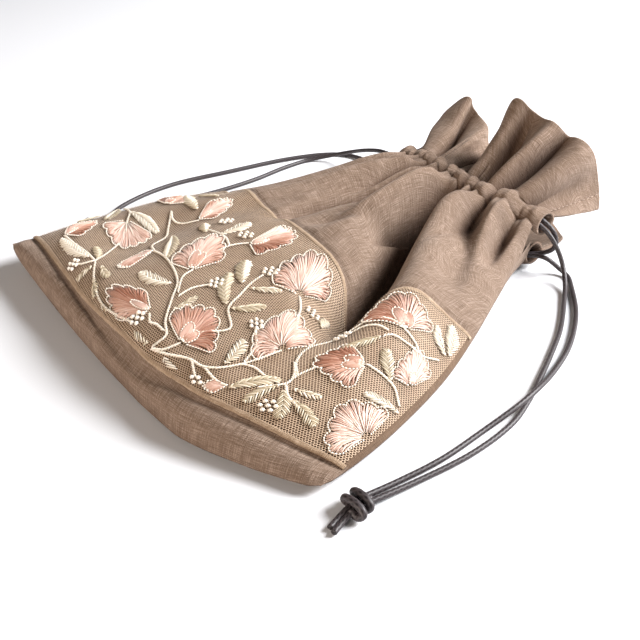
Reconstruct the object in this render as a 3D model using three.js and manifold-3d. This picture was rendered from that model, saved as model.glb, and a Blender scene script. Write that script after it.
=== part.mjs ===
// A drawstring pouch lying on its back: a linen bag with a net lace panel sewn across its front, a gathered
// casing and a frill on each side of the mouth, and two knotted drawcords.
// Millimetres, +Z up, mouth towards +Y.
import * as THREE from "three";
import { mergeVertices } from "three/addons/utils/BufferGeometryUtils.js";
import Module from "manifold-3d";

// Driving dimensions
const BAG_LENGTH = 163; // along the side seams, from the bottom seam to the gathers
const CLOTH = 1.5; // linen wall
const LACE = 0.9; // net with its embroidery
const LACE_HEM = 1.5; // turned edge along the lace's two seams
const SEAT_GAP = 0.4; // clearance between pieces that are sewn together
const SEAM_GAP = 0.65; // clearance between the two panels in their seam
const ALLOWANCE = 2; // width of that seam
const LACE_GAP = 0.5; // clearance under the lace
const LACE_SPAN = 1.9; // more clearance where the lace spans the main valley
const CORD_DIAMETER = 2;
const CASING_HALF_WIDTH = 5.5;
const CASING_HALF_THICKNESS = 4.2;
const CASING_WALL = 1.1;
const CASING_TILT = 0.3; // radians, how far the front casing leans up
const FRILL_CLOTH = 1.3;
const PLAN_CENTRE = { x: 2.1, y: 96 }; // middle of the pouch's own outline, where the part's origin stands

// Colours
const LINEN_COLOUR = 0x9c8070;
const LACE_COLOUR = 0xb9a184;
const CORD_COLOUR = 0x3a3433;

// Cross sections of the bag from its bottom seam (at 0) to the gathers (at 1): half width and centre across,
// how far the middle is pushed towards the bottom, the slant of the row, how full the front is, the height of
// the left and right side seams, and how far the bottom seam sags between its corners.
const BODY_ROWS = [
  { at: 0.0, half: 94, centre: 3, bow: 16, skew: 2, crown: 16, left: 11, right: 4, sag: 5.5 },
  { at: 0.12, half: 95, centre: 2, bow: 17, skew: 1, crown: 17, left: 10, right: 5, sag: 3 },
  { at: 0.25, half: 93, centre: 1, bow: 19, skew: 0, crown: 19, left: 9, right: 6, sag: 1 },
  { at: 0.42, half: 87, centre: 0, bow: 20, skew: 0, crown: 20, left: 9, right: 7, sag: 0 },
  { at: 0.58, half: 75, centre: 2, bow: 19, skew: 0, crown: 20, left: 10, right: 8, sag: 0 },
  { at: 0.77, half: 61, centre: 3, bow: 16, skew: -2, crown: 19, left: 12, right: 9, sag: 0 },
  { at: 0.91, half: 50, centre: 5, bow: 15, skew: -4, crown: 18, left: 14, right: 11, sag: 0 },
  { at: 1.0, half: 44, centre: 7, bow: 14, skew: -4.5, crown: 17, left: 15, right: 15, sag: 0 },
];

// Folds of the front, each a ridge (rise above 0) or a valley: where it starts across the gathers (neck),
// where it has run to at lowAt, its rise and width at both ends, and the length over which it dies away.
const FOLD_ROWS = [
  { neck: -0.74, low: -0.82, lowAt: 0.6, neckRise: -4, lowRise: -2, neckWidth: 0.08, lowWidth: 0.1, fade: 0.25 },
  { neck: -0.5, low: -0.6, lowAt: 0.55, neckRise: 3, lowRise: 2, neckWidth: 0.12, lowWidth: 0.16, fade: 0.35 },
  { neck: -0.24, low: -0.38, lowAt: 0.64, neckRise: -8, lowRise: -5, neckWidth: 0.09, lowWidth: 0.13, fade: 0.22 },
  { neck: 0.0, low: -0.15, lowAt: 0.52, neckRise: 4, lowRise: 3, neckWidth: 0.12, lowWidth: 0.18, fade: 0.4 },
  { neck: 0.15, low: 0.5, lowAt: 0.45, neckRise: -14, lowRise: -15, neckWidth: 0.1, lowWidth: 0.11, fade: 0.2 },
  { neck: 0.4, low: 0.68, lowAt: 0.45, neckRise: 4.5, lowRise: 9, neckWidth: 0.12, lowWidth: 0.12, fade: 0.34 },
  { neck: 0.6, low: 0.8, lowAt: 0.7, neckRise: -6, lowRise: -2, neckWidth: 0.07, lowWidth: 0.09, fade: 0.2 },
  { neck: 0.74, low: 0.93, lowAt: 0.66, neckRise: 3, lowRise: 2, neckWidth: 0.07, lowWidth: 0.08, fade: 0.2 },
  { neck: 0.84, low: 0.88, lowAt: 0.88, neckRise: -6, lowRise: -3, neckWidth: 0.06, lowWidth: 0.06, fade: 0.1 },
];
const FOLD_EDGE = 0.12; // folds die away in this share of the half width next to each side seam
const GATHER_STARTS = 0.92; // from here to the gathers the folds are drawn in
const GATHER_SHARE = 0.4; // what is left of a fold at the gathers

// Rows of the front panel, which its lace shares, and the sparser rows of the flat back
const LACE_LOW = 0.07;
const LACE_HIGH = 0.56;
const LACE_ROWS = [LACE_LOW, 0.09, 0.13, 0.18, 0.25, 0.33, 0.41, 0.48, 0.54, LACE_HIGH];
const FRONT_ROWS = [0, 0.02, 0.045, ...LACE_ROWS, 0.62, 0.68, 0.75, 0.82, 0.88, 0.93, 0.965, 1];
const BACK_ROWS = [0, 0.015, 0.035, 0.07, 0.2, 0.4, 0.6, 0.8, 0.92, 1];

// Height of the front casing's middle across the mouth, and of the back casing's
const CASING_ROWS = [
  { at: -1.1, front: 17.6, back: 7 },
  { at: -0.8, front: 23, back: 4.8 },
  { at: -0.4, front: 27.5, back: 4.3 },
  { at: 0.0, front: 29, back: 4.3 },
  { at: 0.4, front: 30, back: 4.3 },
  { at: 0.75, front: 28, back: 4.8 },
  { at: 1.03, front: 20.5, back: 7 },
];
const CASING_STATIONS = 24;
const CASING_SIDES = 8;
const PLEATS = { count: 4.6, drift: 0.35, driftRate: 3.1, share: 0.15 }; // puffs along a casing

// Free edges of the frills, a row for each crest or trough from the left end to the right
const FRONT_FRILL_ROWS = [
  { at: -1.0, x: -49, y: 197, z: 13 },
  { at: -0.84, x: -47, y: 206, z: 22 },
  { at: -0.7, x: -37, y: 207, z: 36 },
  { at: -0.6, x: -28, y: 205, z: 45 },
  { at: -0.48, x: -21, y: 205, z: 41 },
  { at: -0.35, x: -15, y: 203, z: 34 },
  { at: -0.2, x: -8, y: 199, z: 28 },
  { at: -0.05, x: 0, y: 196, z: 25 },
  { at: 0.1, x: 3, y: 193, z: 38 },
  { at: 0.22, x: 12, y: 189, z: 58 },
  { at: 0.33, x: 22, y: 188, z: 57 },
  { at: 0.42, x: 30, y: 189, z: 54 },
  { at: 0.55, x: 38, y: 190, z: 51 },
  { at: 0.7, x: 45, y: 193, z: 48 },
  { at: 0.8, x: 50, y: 196, z: 42 },
  { at: 0.9, x: 51, y: 203, z: 29 },
  { at: 1.0, x: 53, y: 206, z: 15 },
];
const BACK_FRILL_ROWS = [
  { at: -1.0, x: -46, y: 194, z: 5 },
  { at: -0.6, x: -30, y: 204, z: 11 },
  { at: -0.2, x: -6, y: 203, z: 4 },
  { at: 0.2, x: 13, y: 203, z: 9 },
  { at: 0.6, x: 33, y: 198, z: 3.4 },
  { at: 1.0, x: 46, y: 189, z: 4 },
];
// Flutes of the front frill, pushed out along the cloth's own normal
const FLUTE_ROWS = [
  { at: -0.7, rise: 3, width: 0.08 },
  { at: -0.5, rise: -5, width: 0.09 },
  { at: -0.33, rise: 3, width: 0.07 },
  { at: 0.31, rise: -6, width: 0.07 },
  { at: 0.5, rise: 3.5, width: 0.08 },
  { at: 0.67, rise: -4.5, width: 0.07 },
  { at: 0.84, rise: 2, width: 0.08 },
];
const FRILL_PLEAT = 1.6; // rise of the gathers where a frill leaves its casing
const FRILL_BELLY = new THREE.Vector3(0, 3, -2); // how a frill bows between its casing and its edge
const FRILL_CLEAR = 0.5; // a frill's start beyond the casing's seat

// Free stretches of the drawcords, from the casing's mouth to the knot
const RIGHT_FRONT_STRAND = [
  [56, 164, 17.8], [60.6, 164.6, 12.4], [64.6, 164, 6.4], [70, 159, 2.4], [77.4, 148.7, 1.2],
  [88.5, 131.8, 1.2], [97.4, 114, 1.2], [104.8, 97.5, 1.2], [109.6, 86, 1.2], [113.6, 73, 1.2],
  [115.1, 52, 1.2], [112.8, 29, 1.2], [110.7, 10.9, 2.2],
];
const RIGHT_BACK_STRAND = [
  [56.2, 163.9, 7], [60.4, 167.8, 2.6], [65, 167.4, 1.2], [72.2, 160.7, 1.2], [85.6, 145.6, 1.2],
  [98, 124.6, 1.2], [104.6, 106.5, 1.6], [108.9, 91, 3.5], [110.1, 80.5, 3.2], [109.8, 63.6, 1.2],
  [110.6, 42, 1.2], [109, 24, 1.3], [107.9, 11, 2.3],
];
const LEFT_FRONT_STRAND = [
  [-47, 175.2, 17.4], [-56, 175.6, 16.4], [-68, 177, 12.6], [-80.5, 178, 7.4], [-91, 174.2, 3.2],
  [-97.6, 165, 1.2], [-98.4, 150, 1.2], [-96.8, 130, 1.2], [-97.8, 108, 1.2], [-101.6, 84, 1.2],
  [-103.6, 62, 1.2], [-101.2, 42.5, 2.2],
];
const LEFT_BACK_STRAND = [
  [-47, 176.6, 7], [-56, 181.8, 3.4], [-66, 186, 1.3], [-78.5, 187.4, 1.2], [-89.5, 184.6, 1.2],
  [-97.2, 177, 1.2], [-105.7, 158, 1.2], [-113.1, 125.2, 1.2], [-118.6, 98, 1.2], [-118, 79, 1.2],
  [-113.6, 62, 1.2], [-107.6, 51.4, 1.3], [-104, 42.6, 2.3],
];
const CORDS_APART = 1.4; // each cord's distance from a casing's middle line
const THREADED_AT = [1.0, 0.84, 0.55, 0.2, -0.2, -0.55, -0.85, -1.07]; // a cord's places along a casing
// Where a cord turns from one casing into the other: the left cord at the right end, the right cord at the left
const RIGHT_TURN = [[55.5, 167.2, 18], [57, 167.8, 13.4], [55.5, 167.6, 9.6]];
const LEFT_TURN = [[-44.6, 172.8, 15.8], [-46.2, 172.2, 12], [-44.6, 172.6, 8.2]];
const CORD_STEPS = 80;
const CORD_SIDES = 8;

// Knots: an overhand knot in both strands of a cord, drawn up tight, with two cut tails
const KNOT = { turn: 2.5, strand: 1.25, lean: 0.42, apart: 1.15, wide: 1.2, height: 3.8, core: 2.3 };
const KNOT_SIDES = 6;
const KNOT_STEPS = 9;
const TAIL_LENGTH = 13;
const TAIL_APART = 1.15;
const RIGHT_KNOT = { x: 109.4, y: 6.6, heading: 0.16 };
const LEFT_KNOT = { x: -102.4, y: 38.4, heading: 0.12 };

const wasm = await Module();
wasm.setup();

// Curves through the tables' rows

function smoothstep(low, high, value) {
  return THREE.MathUtils.smoothstep(value, low, high);
}

function column(rows, key, at) {
  const last = rows.length - 1;
  let i = 0;
  while (i < last - 1 && at >= rows[i + 1].at) i += 1;
  const slope = (k) => {
    const before = rows[Math.max(k - 1, 0)];
    const after = rows[Math.min(k + 1, last)];
    return (after[key] - before[key]) / (after.at - before.at);
  };
  const span = rows[i + 1].at - rows[i].at;
  const s = (at - rows[i].at) / span;
  const start = (1 + 2 * s) * (1 - s) ** 2 * rows[i][key] + s * (1 - s) ** 2 * span * slope(i);
  const end = s * s * (3 - 2 * s) * rows[i + 1][key] + s * s * (s - 1) * span * slope(i + 1);
  return start + end;
}

function bell(distance, width) {
  return Math.exp(-((distance / width) ** 2));
}

function lopsidedBell(value, middle, leftWidth, rightWidth) {
  return bell(value - middle, value < middle ? leftWidth : rightWidth);
}

// The bag's shape: u runs from the left side seam (-1) to the right (1), t from the bottom seam to the gathers

const PUSH_AT = 0.45; // where across the bag its middle is pushed furthest towards the bottom

function pushed(u) {
  const reach = u < PUSH_AT ? 1 + PUSH_AT : 1 - PUSH_AT;
  return 1 - Math.abs((u - PUSH_AT) / reach) ** 1.4;
}

// The rows of cloth slip down over the full front, next to the bottom and where the main valley starts
function slid(u, t) {
  const bottom = t < LACE_LOW ? t / LACE_LOW : 1 - smoothstep(LACE_LOW, 0.36, t);
  const valley = bell(u - 0.56, 0.13) * bell(t - LACE_HIGH, 0.18);
  return t - 0.053 * lopsidedBell(u, 0.12, 0.75, 0.38) * bottom - 0.1 * valley;
}

function plan(u, t) {
  const x = column(BODY_ROWS, "centre", t) + column(BODY_ROWS, "half", t) * u;
  const slant = column(BODY_ROWS, "skew", t) * u;
  const y = BAG_LENGTH * t + slant - column(BODY_ROWS, "bow", t) * pushed(u);
  return { x, y };
}

function seamHeight(u, t) {
  const left = (column(BODY_ROWS, "left", t) * (1 - u)) / 2;
  const right = (column(BODY_ROWS, "right", t) * (1 + u)) / 2;
  return left + right - column(BODY_ROWS, "sag", t) * (1 - u * u);
}

function fullness(u, t) {
  const blunt = 0.6 - 0.17 * smoothstep(0.8, 1, t);
  const across = Math.max(0, 1 - Math.abs(u) ** 2.2) ** blunt;
  return column(BODY_ROWS, "crown", t) * across + 0.6 * column(BODY_ROWS, "sag", t) * (1 - u * u);
}

// The front turns up from the bottom seam, most steeply in the middle
function noseRise(u, t) {
  const steepness = 2 + 2.5 * lopsidedBell(u, 0.05, 0.62, 0.45);
  const share = THREE.MathUtils.clamp(t / 0.16, 0, 1);
  return 1 - (1 - share) ** steepness;
}

function foldRise(u, t) {
  let rise = 0;
  for (const fold of FOLD_ROWS) {
    const run = (1 - t) / (1 - fold.lowAt);
    const share = THREE.MathUtils.clamp(run, 0, 1);
    const middle = THREE.MathUtils.lerp(fold.neck, fold.low, run);
    const height = THREE.MathUtils.lerp(fold.neckRise, fold.lowRise, share);
    const width = THREE.MathUtils.lerp(fold.neckWidth, fold.lowWidth, share);
    rise += height * smoothstep(fold.lowAt - fold.fade, fold.lowAt, t) * bell(u - middle, width);
  }
  const drawnIn = 1 - (1 - GATHER_SHARE) * smoothstep(GATHER_STARTS, 1, t);
  const edge = THREE.MathUtils.clamp((1 - Math.abs(u)) / FOLD_EDGE, 0, 1);
  return rise * drawnIn * edge;
}

function frontPoint(u, row) {
  const t = slid(u, row);
  const { x, y } = plan(u, t);
  const z = seamHeight(u, t) + noseRise(u, t) * (fullness(u, t) + foldRise(u, t));
  return new THREE.Vector3(x, y, z);
}

// The back lies flat, and turns up to the seams in a quarter round
function quarterRound(share) {
  return Math.sqrt(1 - (1 - THREE.MathUtils.clamp(share, 0, 1)) ** 2);
}

function backPoint(u, row) {
  const t = slid(u, row);
  const { x, y } = plan(u, t);
  const flat = quarterRound((1 - Math.abs(u)) / 0.14) * quarterRound(t / 0.07);
  return new THREE.Vector3(x, y, seamHeight(u, t) * (1 - flat));
}

// Meshes from rows of points

// Each square is cut along the diagonal that runs with the folds, which spread out from the mouth's middle
function addGrid(triangles, rows, facingDown = false) {
  for (let i = 0; i + 1 < rows.length; i += 1) {
    const squares = rows[i].length - 1;
    for (let j = 0; j < squares; j += 1) {
      const corners = [rows[i][j], rows[i][j + 1], rows[i + 1][j + 1], rows[i + 1][j]];
      const [a, b, c, d] = j < squares / 2 ? corners : [...corners.slice(1), corners[0]];
      if (facingDown) triangles.push(a, c, b, a, d, c);
      else triangles.push(a, b, c, a, c, d);
    }
  }
}

function closedGeometry(triangles) {
  const geometry = new THREE.BufferGeometry().setFromPoints(triangles);
  return mergeVertices(geometry, 1e-4);
}

function normalOf(surface, u, v) {
  const step = 1e-3;
  const across = surface(u + step, v).sub(surface(u - step, v));
  const along = surface(u, v + step).sub(surface(u, v - step));
  return across.cross(along).normalize();
}

function range(count, low, high) {
  return Array.from({ length: count + 1 }, (_, i) => low + ((high - low) * i) / count);
}

// A slab of cloth on a surface, between two distances from it
function slab(surface, columns, rows, under, over) {
  const layer = (distance) => rows.map((v) => columns.map((u) => {
    return surface(u, v).addScaledVector(normalOf(surface, u, v), distance(u, v));
  }));
  const top = layer(over);
  const bottom = layer(under);
  const triangles = [];
  addGrid(triangles, top);
  addGrid(triangles, bottom, true);
  const last = rows.length - 1;
  const end = columns.length - 1;
  addGrid(triangles, [bottom[0], top[0]]);
  addGrid(triangles, [top[last], bottom[last]]);
  addGrid(triangles, [top.map((row) => row[0]), bottom.map((row) => row[0])]);
  addGrid(triangles, [bottom.map((row) => row[end]), top.map((row) => row[end])]);
  return closedGeometry(triangles);
}

// Bag: a front and a back panel sewn together at the sides and the bottom

// Columns are closer together next to the side seams, where the cloth turns over
function columnsAcross(count) {
  return range(count, 0, 1).map((share) => 0.5 * (2 * share - 1) - 0.5 * Math.cos(Math.PI * share));
}

const FRONT_COLUMNS = columnsAcross(36);
const BACK_COLUMNS = columnsAcross(24);

// How far below the front's skin its inner face lies
function wallDepth(u, t) {
  const upright = Math.abs(normalOf(frontPoint, u, Math.min(t, 0.999)).z);
  return CLOTH / Math.max(upright, 0.5);
}

// The front and back panels meet in a flat seam allowance all round except at the mouth
function seamLevel(point, u, row, side) {
  return point.setZ(seamHeight(u, slid(u, row)) + (side * SEAM_GAP) / 2);
}

// A panel between its skin and its inner face, which is set in from the seams
function panel(rows, columns, skinPoint, innerPoint, side) {
  const end = columns.length - 1;
  const onSeam = (i, j) => i === 0 || j === 0 || j === end;
  const skin = rows.map((t, i) => columns.map((u, j) => {
    return onSeam(i, j) ? seamLevel(skinPoint(u, t), u, t, side) : skinPoint(u, t);
  }));
  const inside = rows.map((t, i) => columns.map((share, j) => {
    const row = ALLOWANCE / BAG_LENGTH + (1 - ALLOWANCE / BAG_LENGTH) * t;
    const u = share * (1 - ALLOWANCE / column(BODY_ROWS, "half", t));
    return onSeam(i, j) ? seamLevel(skinPoint(u, row), u, row, side) : innerPoint(u, row);
  }));
  const last = rows.length - 1;
  const triangles = [];
  addGrid(triangles, skin, side < 0);
  addGrid(triangles, inside, side > 0);
  addGrid(triangles, [inside[0], skin[0]], side < 0);
  addGrid(triangles, [skin[last], inside[last]], side < 0);
  addGrid(triangles, [skin.map((row) => row[0]), inside.map((row) => row[0])], side < 0);
  addGrid(triangles, [inside.map((row) => row[end]), skin.map((row) => row[end])], side < 0);
  return closedGeometry(triangles);
}

function frontPanel() {
  const innerPoint = (u, t) => {
    const point = frontPoint(u, t);
    const level = seamHeight(u, slid(u, t)) + SEAM_GAP / 2;
    return point.setZ(Math.max(point.z - wallDepth(u, t), level));
  };
  return panel(FRONT_ROWS, FRONT_COLUMNS, frontPoint, innerPoint, 1);
}

function backPanel() {
  const innerPoint = (u, t) => {
    const point = backPoint(u, t);
    const level = seamHeight(u, slid(u, t)) - SEAM_GAP / 2;
    return point.setZ(Math.min(point.z + CLOTH, level));
  };
  return panel(BACK_ROWS, BACK_COLUMNS, backPoint, innerPoint, -1);
}

function lacePanel() {
  const columns = FRONT_COLUMNS.slice(1, -1);
  const hemRows = [LACE_ROWS[0], LACE_ROWS[1], LACE_ROWS.at(-2), LACE_ROWS.at(-1)];
  const under = (u, t) => LACE_GAP + LACE_SPAN * bell(u - 0.53, 0.17) * bell(t - 0.45, 0.15);
  const over = (u, t) => under(u, t) + (hemRows.includes(t) ? LACE_HEM : LACE);
  return slab(frontPoint, columns, LACE_ROWS, under, over);
}

// Casings: puffed tubes of linen across the mouth, open at both ends, that hold the drawcords

function pleat(u) {
  const drift = PLEATS.drift * Math.sin(PLEATS.driftRate * u);
  return Math.cos(2 * Math.PI * (PLEATS.count * u + drift));
}

const FRONT_CASING = { key: "front", tilt: CASING_TILT };
const BACK_CASING = { key: "back", tilt: 0 };

function casingDirection(casing) {
  return new THREE.Vector3(0, Math.cos(casing.tilt), Math.sin(casing.tilt));
}

function casingMiddle(casing, u) {
  const { x, y } = plan(u, 1);
  const clear = CASING_HALF_WIDTH + SEAT_GAP + 0.4 * Math.sin(casing.tilt);
  return new THREE.Vector3(x, y + clear, column(CASING_ROWS, casing.key, u));
}

// One ring of a casing's section, half a turn shy of its start so that the last point isn't repeated
function casingRing(casing, u, halfWidth, topThickness, bottomThickness) {
  const along = casingDirection(casing);
  const up = new THREE.Vector3(0, -along.z, along.y);
  return range(CASING_SIDES, 0, 2 * Math.PI).map((angle) => {
    const thickness = Math.sin(angle) > 0 ? topThickness : bottomThickness;
    return casingMiddle(casing, u)
      .addScaledVector(along, halfWidth * Math.cos(angle))
      .addScaledVector(up, thickness * Math.sin(angle));
  });
}

function casingTube(casing) {
  const stations = range(CASING_STATIONS, CASING_ROWS[0].at, CASING_ROWS.at(-1).at);
  const least = CASING_HALF_THICKNESS * (1 - PLEATS.share);
  const outer = stations.map((u) => {
    const puffed = CASING_HALF_THICKNESS * (1 + PLEATS.share * pleat(u));
    return casingRing(casing, u, CASING_HALF_WIDTH, puffed, CASING_HALF_THICKNESS);
  });
  const bore = stations.map((u) => {
    return casingRing(casing, u, CASING_HALF_WIDTH - CASING_WALL, least - CASING_WALL, least - CASING_WALL);
  });
  const triangles = [];
  addGrid(triangles, outer);
  addGrid(triangles, bore, true);
  addGrid(triangles, [bore[0], outer[0]]);
  addGrid(triangles, [outer.at(-1), bore.at(-1)]);
  return closedGeometry(triangles);
}

// Frills: each leaves its casing in small gathers and flares out to its free edge

function frillSheet(casing, rows) {
  return (u, v) => {
    const clear = CASING_HALF_WIDTH + SEAT_GAP + FRILL_CLEAR;
    const start = casingMiddle(casing, u).addScaledVector(casingDirection(casing), clear);
    const end = new THREE.Vector3(column(rows, "x", u), column(rows, "y", u), column(rows, "z", u));
    const belly = start.clone().lerp(end, 0.5).add(FRILL_BELLY);
    start.multiplyScalar((1 - v) ** 2);
    return start.addScaledVector(belly, 2 * v * (1 - v)).addScaledVector(end, v * v);
  };
}

function fluteRise(u) {
  return FLUTE_ROWS.reduce((sum, flute) => sum + flute.rise * bell(u - flute.at, flute.width), 0);
}

function frontFrill() {
  const plain = frillSheet(FRONT_CASING, FRONT_FRILL_ROWS);
  const fluted = (u, v) => {
    const rise = fluteRise(u) * Math.sin(Math.PI * (0.12 + 0.62 * v)) + FRILL_PLEAT * pleat(u) * (1 - v) ** 2;
    return plain(u, v).addScaledVector(normalOf(plain, u, v), rise);
  };
  return slab(fluted, range(38, -0.995, 0.995), range(5, 0, 1), () => -FRILL_CLOTH / 2, () => FRILL_CLOTH / 2);
}

function backFrill() {
  const sheet = frillSheet(BACK_CASING, BACK_FRILL_ROWS);
  return slab(sheet, range(20, -0.995, 0.995), range(4, 0, 1), () => -FRILL_CLOTH / 2, () => FRILL_CLOTH / 2);
}

// Drawcords: each runs from its knot through one casing, round the far end and back through the other

function threaded(casing, side) {
  return THREADED_AT.map((u) => {
    return casingMiddle(casing, u).addScaledVector(casingDirection(casing), side * CORDS_APART);
  });
}

function tube(points, radius, sides, steps) {
  const section = new THREE.Shape(range(sides - 1, 0, 2 * Math.PI * (1 - 1 / sides)).map((angle) => {
    return new THREE.Vector2(radius * Math.cos(angle), radius * Math.sin(angle));
  }));
  const path = new THREE.CatmullRomCurve3(points, false, "centripetal");
  return new THREE.ExtrudeGeometry(section, { steps, extrudePath: path, bevelEnabled: false });
}

function onlyPositions(geometry) {
  geometry.deleteAttribute("normal");
  geometry.deleteAttribute("uv");
  return mergeVertices(geometry, 1e-4);
}

function vectors(points) {
  return points.map(([x, y, z]) => new THREE.Vector3(x, y, z));
}

function rightCord() {
  const route = [
    ...vectors(RIGHT_FRONT_STRAND).reverse(),
    ...threaded(FRONT_CASING, -1),
    ...vectors(LEFT_TURN),
    ...threaded(BACK_CASING, -1).reverse(),
    ...vectors(RIGHT_BACK_STRAND),
  ];
  return onlyPositions(tube(route, CORD_DIAMETER / 2, CORD_SIDES, CORD_STEPS));
}

function leftCord() {
  const route = [
    ...vectors(LEFT_FRONT_STRAND).reverse(),
    ...threaded(FRONT_CASING, 1).reverse(),
    ...vectors(RIGHT_TURN),
    ...threaded(BACK_CASING, 1),
    ...vectors(LEFT_BACK_STRAND),
  ];
  return onlyPositions(tube(route, CORD_DIAMETER / 2, CORD_SIDES, CORD_STEPS));
}

// Knots, drawn along +Y from the tails to the strands

function solidOf(geometry) {
  const { position } = geometry.attributes;
  const mesh = new wasm.Mesh({
    numProp: 3,
    vertProperties: new Float32Array(position.array),
    triVerts: new Uint32Array(geometry.index.array),
  });
  return new wasm.Manifold(mesh);
}

// Two leaning turns round a full core
function knotWithTails() {
  const core = new THREE.SphereGeometry(KNOT.core, KNOT_SIDES, KNOT_SIDES / 2);
  const pieces = [core.translate(0, 0, KNOT.height)];
  for (const side of [-1, 1]) {
    const turn = new THREE.TorusGeometry(KNOT.turn, KNOT.strand, KNOT_SIDES, KNOT_STEPS);
    turn.rotateX(Math.PI / 2).scale(KNOT.wide, 1, 1).rotateZ(side * KNOT.lean);
    pieces.push(turn.translate(0, side * KNOT.apart, KNOT.height));
    const start = new THREE.Vector3(side * TAIL_APART * 0.5, 0, KNOT.height - KNOT.strand);
    const end = new THREE.Vector3(side * TAIL_APART, -TAIL_LENGTH, 1.3);
    const middle = start.clone().lerp(end, 0.5);
    pieces.push(tube([start, middle, end], CORD_DIAMETER / 2, KNOT_SIDES, 2));
  }
  const joined = pieces.map((piece) => solidOf(onlyPositions(piece))).reduce((sum, piece) => sum.add(piece));
  const mesh = joined.getMesh();
  const geometry = new THREE.BufferGeometry();
  geometry.setAttribute("position", new THREE.BufferAttribute(new Float32Array(mesh.vertProperties), 3));
  geometry.setIndex(new THREE.BufferAttribute(new Uint32Array(mesh.triVerts), 1));
  return geometry;
}

// Assembly

const linen = new THREE.MeshStandardMaterial({ color: LINEN_COLOUR, roughness: 0.95, metalness: 0 });
const lace = new THREE.MeshStandardMaterial({ color: LACE_COLOUR, roughness: 0.85, metalness: 0 });
const cord = new THREE.MeshStandardMaterial({ color: CORD_COLOUR, roughness: 0.6, metalness: 0 });

function piece(name, geometry, material) {
  const mesh = new THREE.Mesh(geometry, material);
  mesh.name = name;
  return mesh;
}

function placedKnot(name, place) {
  const group = new THREE.Group();
  group.add(piece(name, knotWithTails(), cord));
  group.position.set(place.x, place.y, 0);
  group.rotation.z = place.heading;
  return group;
}

const pouch = new THREE.Group();
pouch.position.set(-PLAN_CENTRE.x, -PLAN_CENTRE.y, 0);
pouch.add(
  piece("front_panel", frontPanel(), linen),
  piece("back_panel", backPanel(), linen),
  piece("lace_panel", lacePanel(), lace),
  piece("casing_front", casingTube(FRONT_CASING), linen),
  piece("casing_back", casingTube(BACK_CASING), linen),
  piece("frill_front", frontFrill(), linen),
  piece("frill_back", backFrill(), linen),
  piece("cord_right", rightCord(), cord),
  piece("cord_left", leftCord(), cord),
  placedKnot("knot_right", RIGHT_KNOT),
  placedKnot("knot_left", LEFT_KNOT),
);

export default pouch;
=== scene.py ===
"""The look of a linen drawstring pouch with an embroidered net band, built round its solids."""

import bpy
import numpy as np
from mathutils import Matrix, Vector


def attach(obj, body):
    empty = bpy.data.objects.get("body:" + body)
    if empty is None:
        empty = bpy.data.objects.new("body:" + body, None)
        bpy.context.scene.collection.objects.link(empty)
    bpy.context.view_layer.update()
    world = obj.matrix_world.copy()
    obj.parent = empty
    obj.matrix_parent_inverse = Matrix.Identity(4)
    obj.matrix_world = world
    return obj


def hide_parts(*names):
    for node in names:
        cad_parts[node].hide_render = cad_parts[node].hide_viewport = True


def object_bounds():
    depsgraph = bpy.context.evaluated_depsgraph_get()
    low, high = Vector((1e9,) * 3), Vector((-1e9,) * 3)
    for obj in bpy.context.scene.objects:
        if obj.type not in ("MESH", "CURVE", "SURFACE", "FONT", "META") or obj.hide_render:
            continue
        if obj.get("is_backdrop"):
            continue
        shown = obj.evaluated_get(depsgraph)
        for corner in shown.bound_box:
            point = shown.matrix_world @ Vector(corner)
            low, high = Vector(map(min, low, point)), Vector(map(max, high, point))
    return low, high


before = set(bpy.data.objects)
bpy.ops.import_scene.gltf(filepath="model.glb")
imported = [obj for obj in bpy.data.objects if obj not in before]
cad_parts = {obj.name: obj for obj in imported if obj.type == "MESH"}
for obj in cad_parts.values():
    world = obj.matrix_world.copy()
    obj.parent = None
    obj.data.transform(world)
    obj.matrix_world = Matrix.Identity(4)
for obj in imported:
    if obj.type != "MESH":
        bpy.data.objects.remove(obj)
SOLIDS_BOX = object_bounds()
RANDOM = np.random.default_rng(7)

MM = 0.001
PLAN_CENTRE = np.array([2.1, 96.0, 0.0])  # millimetres, the part's origin on the plan that the tables use

# Driving dimensions, millimetres
BAG_LENGTH = 163.0
CASING_HALF_WIDTH = 5.5
CASING_HALF_THICKNESS = 4.2
CASING_TILT = 0.3  # radians
SEAT_GAP = 0.4
CLOTH_THICKNESS = 1.1
CORNER_ROUNDING = 0.8
OVERHANG = 3.5
LACE_HALF = 100.0  # half the flat lace's width
LACE_TALL = 90.0  # flat lace between its two seams
LACE_EDGE = 0.994  # share of the half width that the lace covers

# Places and slips along the bag, as shares of its length
LACE_LOW = 0.07
LACE_HIGH = 0.56
SEAM_RAISE = 0.022
FRONT_SLIP = 0.053
VALLEY_SLIP = 0.1
NOSE_ENDS = 0.16


def table(names, rows):
    """The columns of a table by name, as arrays."""
    return dict(zip(names.split(), np.array(rows, float).T))


def matched(u, v):
    """Two arrays of places, stretched to one shape."""
    return np.broadcast_arrays(np.asarray(u, float), np.asarray(v, float))


# Cross sections of the bag from its bottom seam (at 0) to the gathers (at 1)
BODY = table("at half centre bow skew crown left right sag", [
    (0.00, 96, 2, 16, 2.0, 16, 12, 4, 5.5),
    (0.12, 95, 2, 17, 1.0, 17, 10, 5, 3.0),
    (0.25, 93, 1, 19, 0.0, 19, 9, 6, 1.0),
    (0.42, 87, 0, 20, 0.0, 20, 9, 7, 0.0),
    (0.58, 75, 2, 19, 0.0, 20, 10, 8, 0.0),
    (0.77, 61, 3, 16, -2.0, 19, 12, 9, 0.0),
    (0.91, 50, 5, 15, -4.0, 18, 14, 11, 0.0),
    (1.00, 44, 7, 14, -4.5, 17, 15, 15, 0.0),
])

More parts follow.
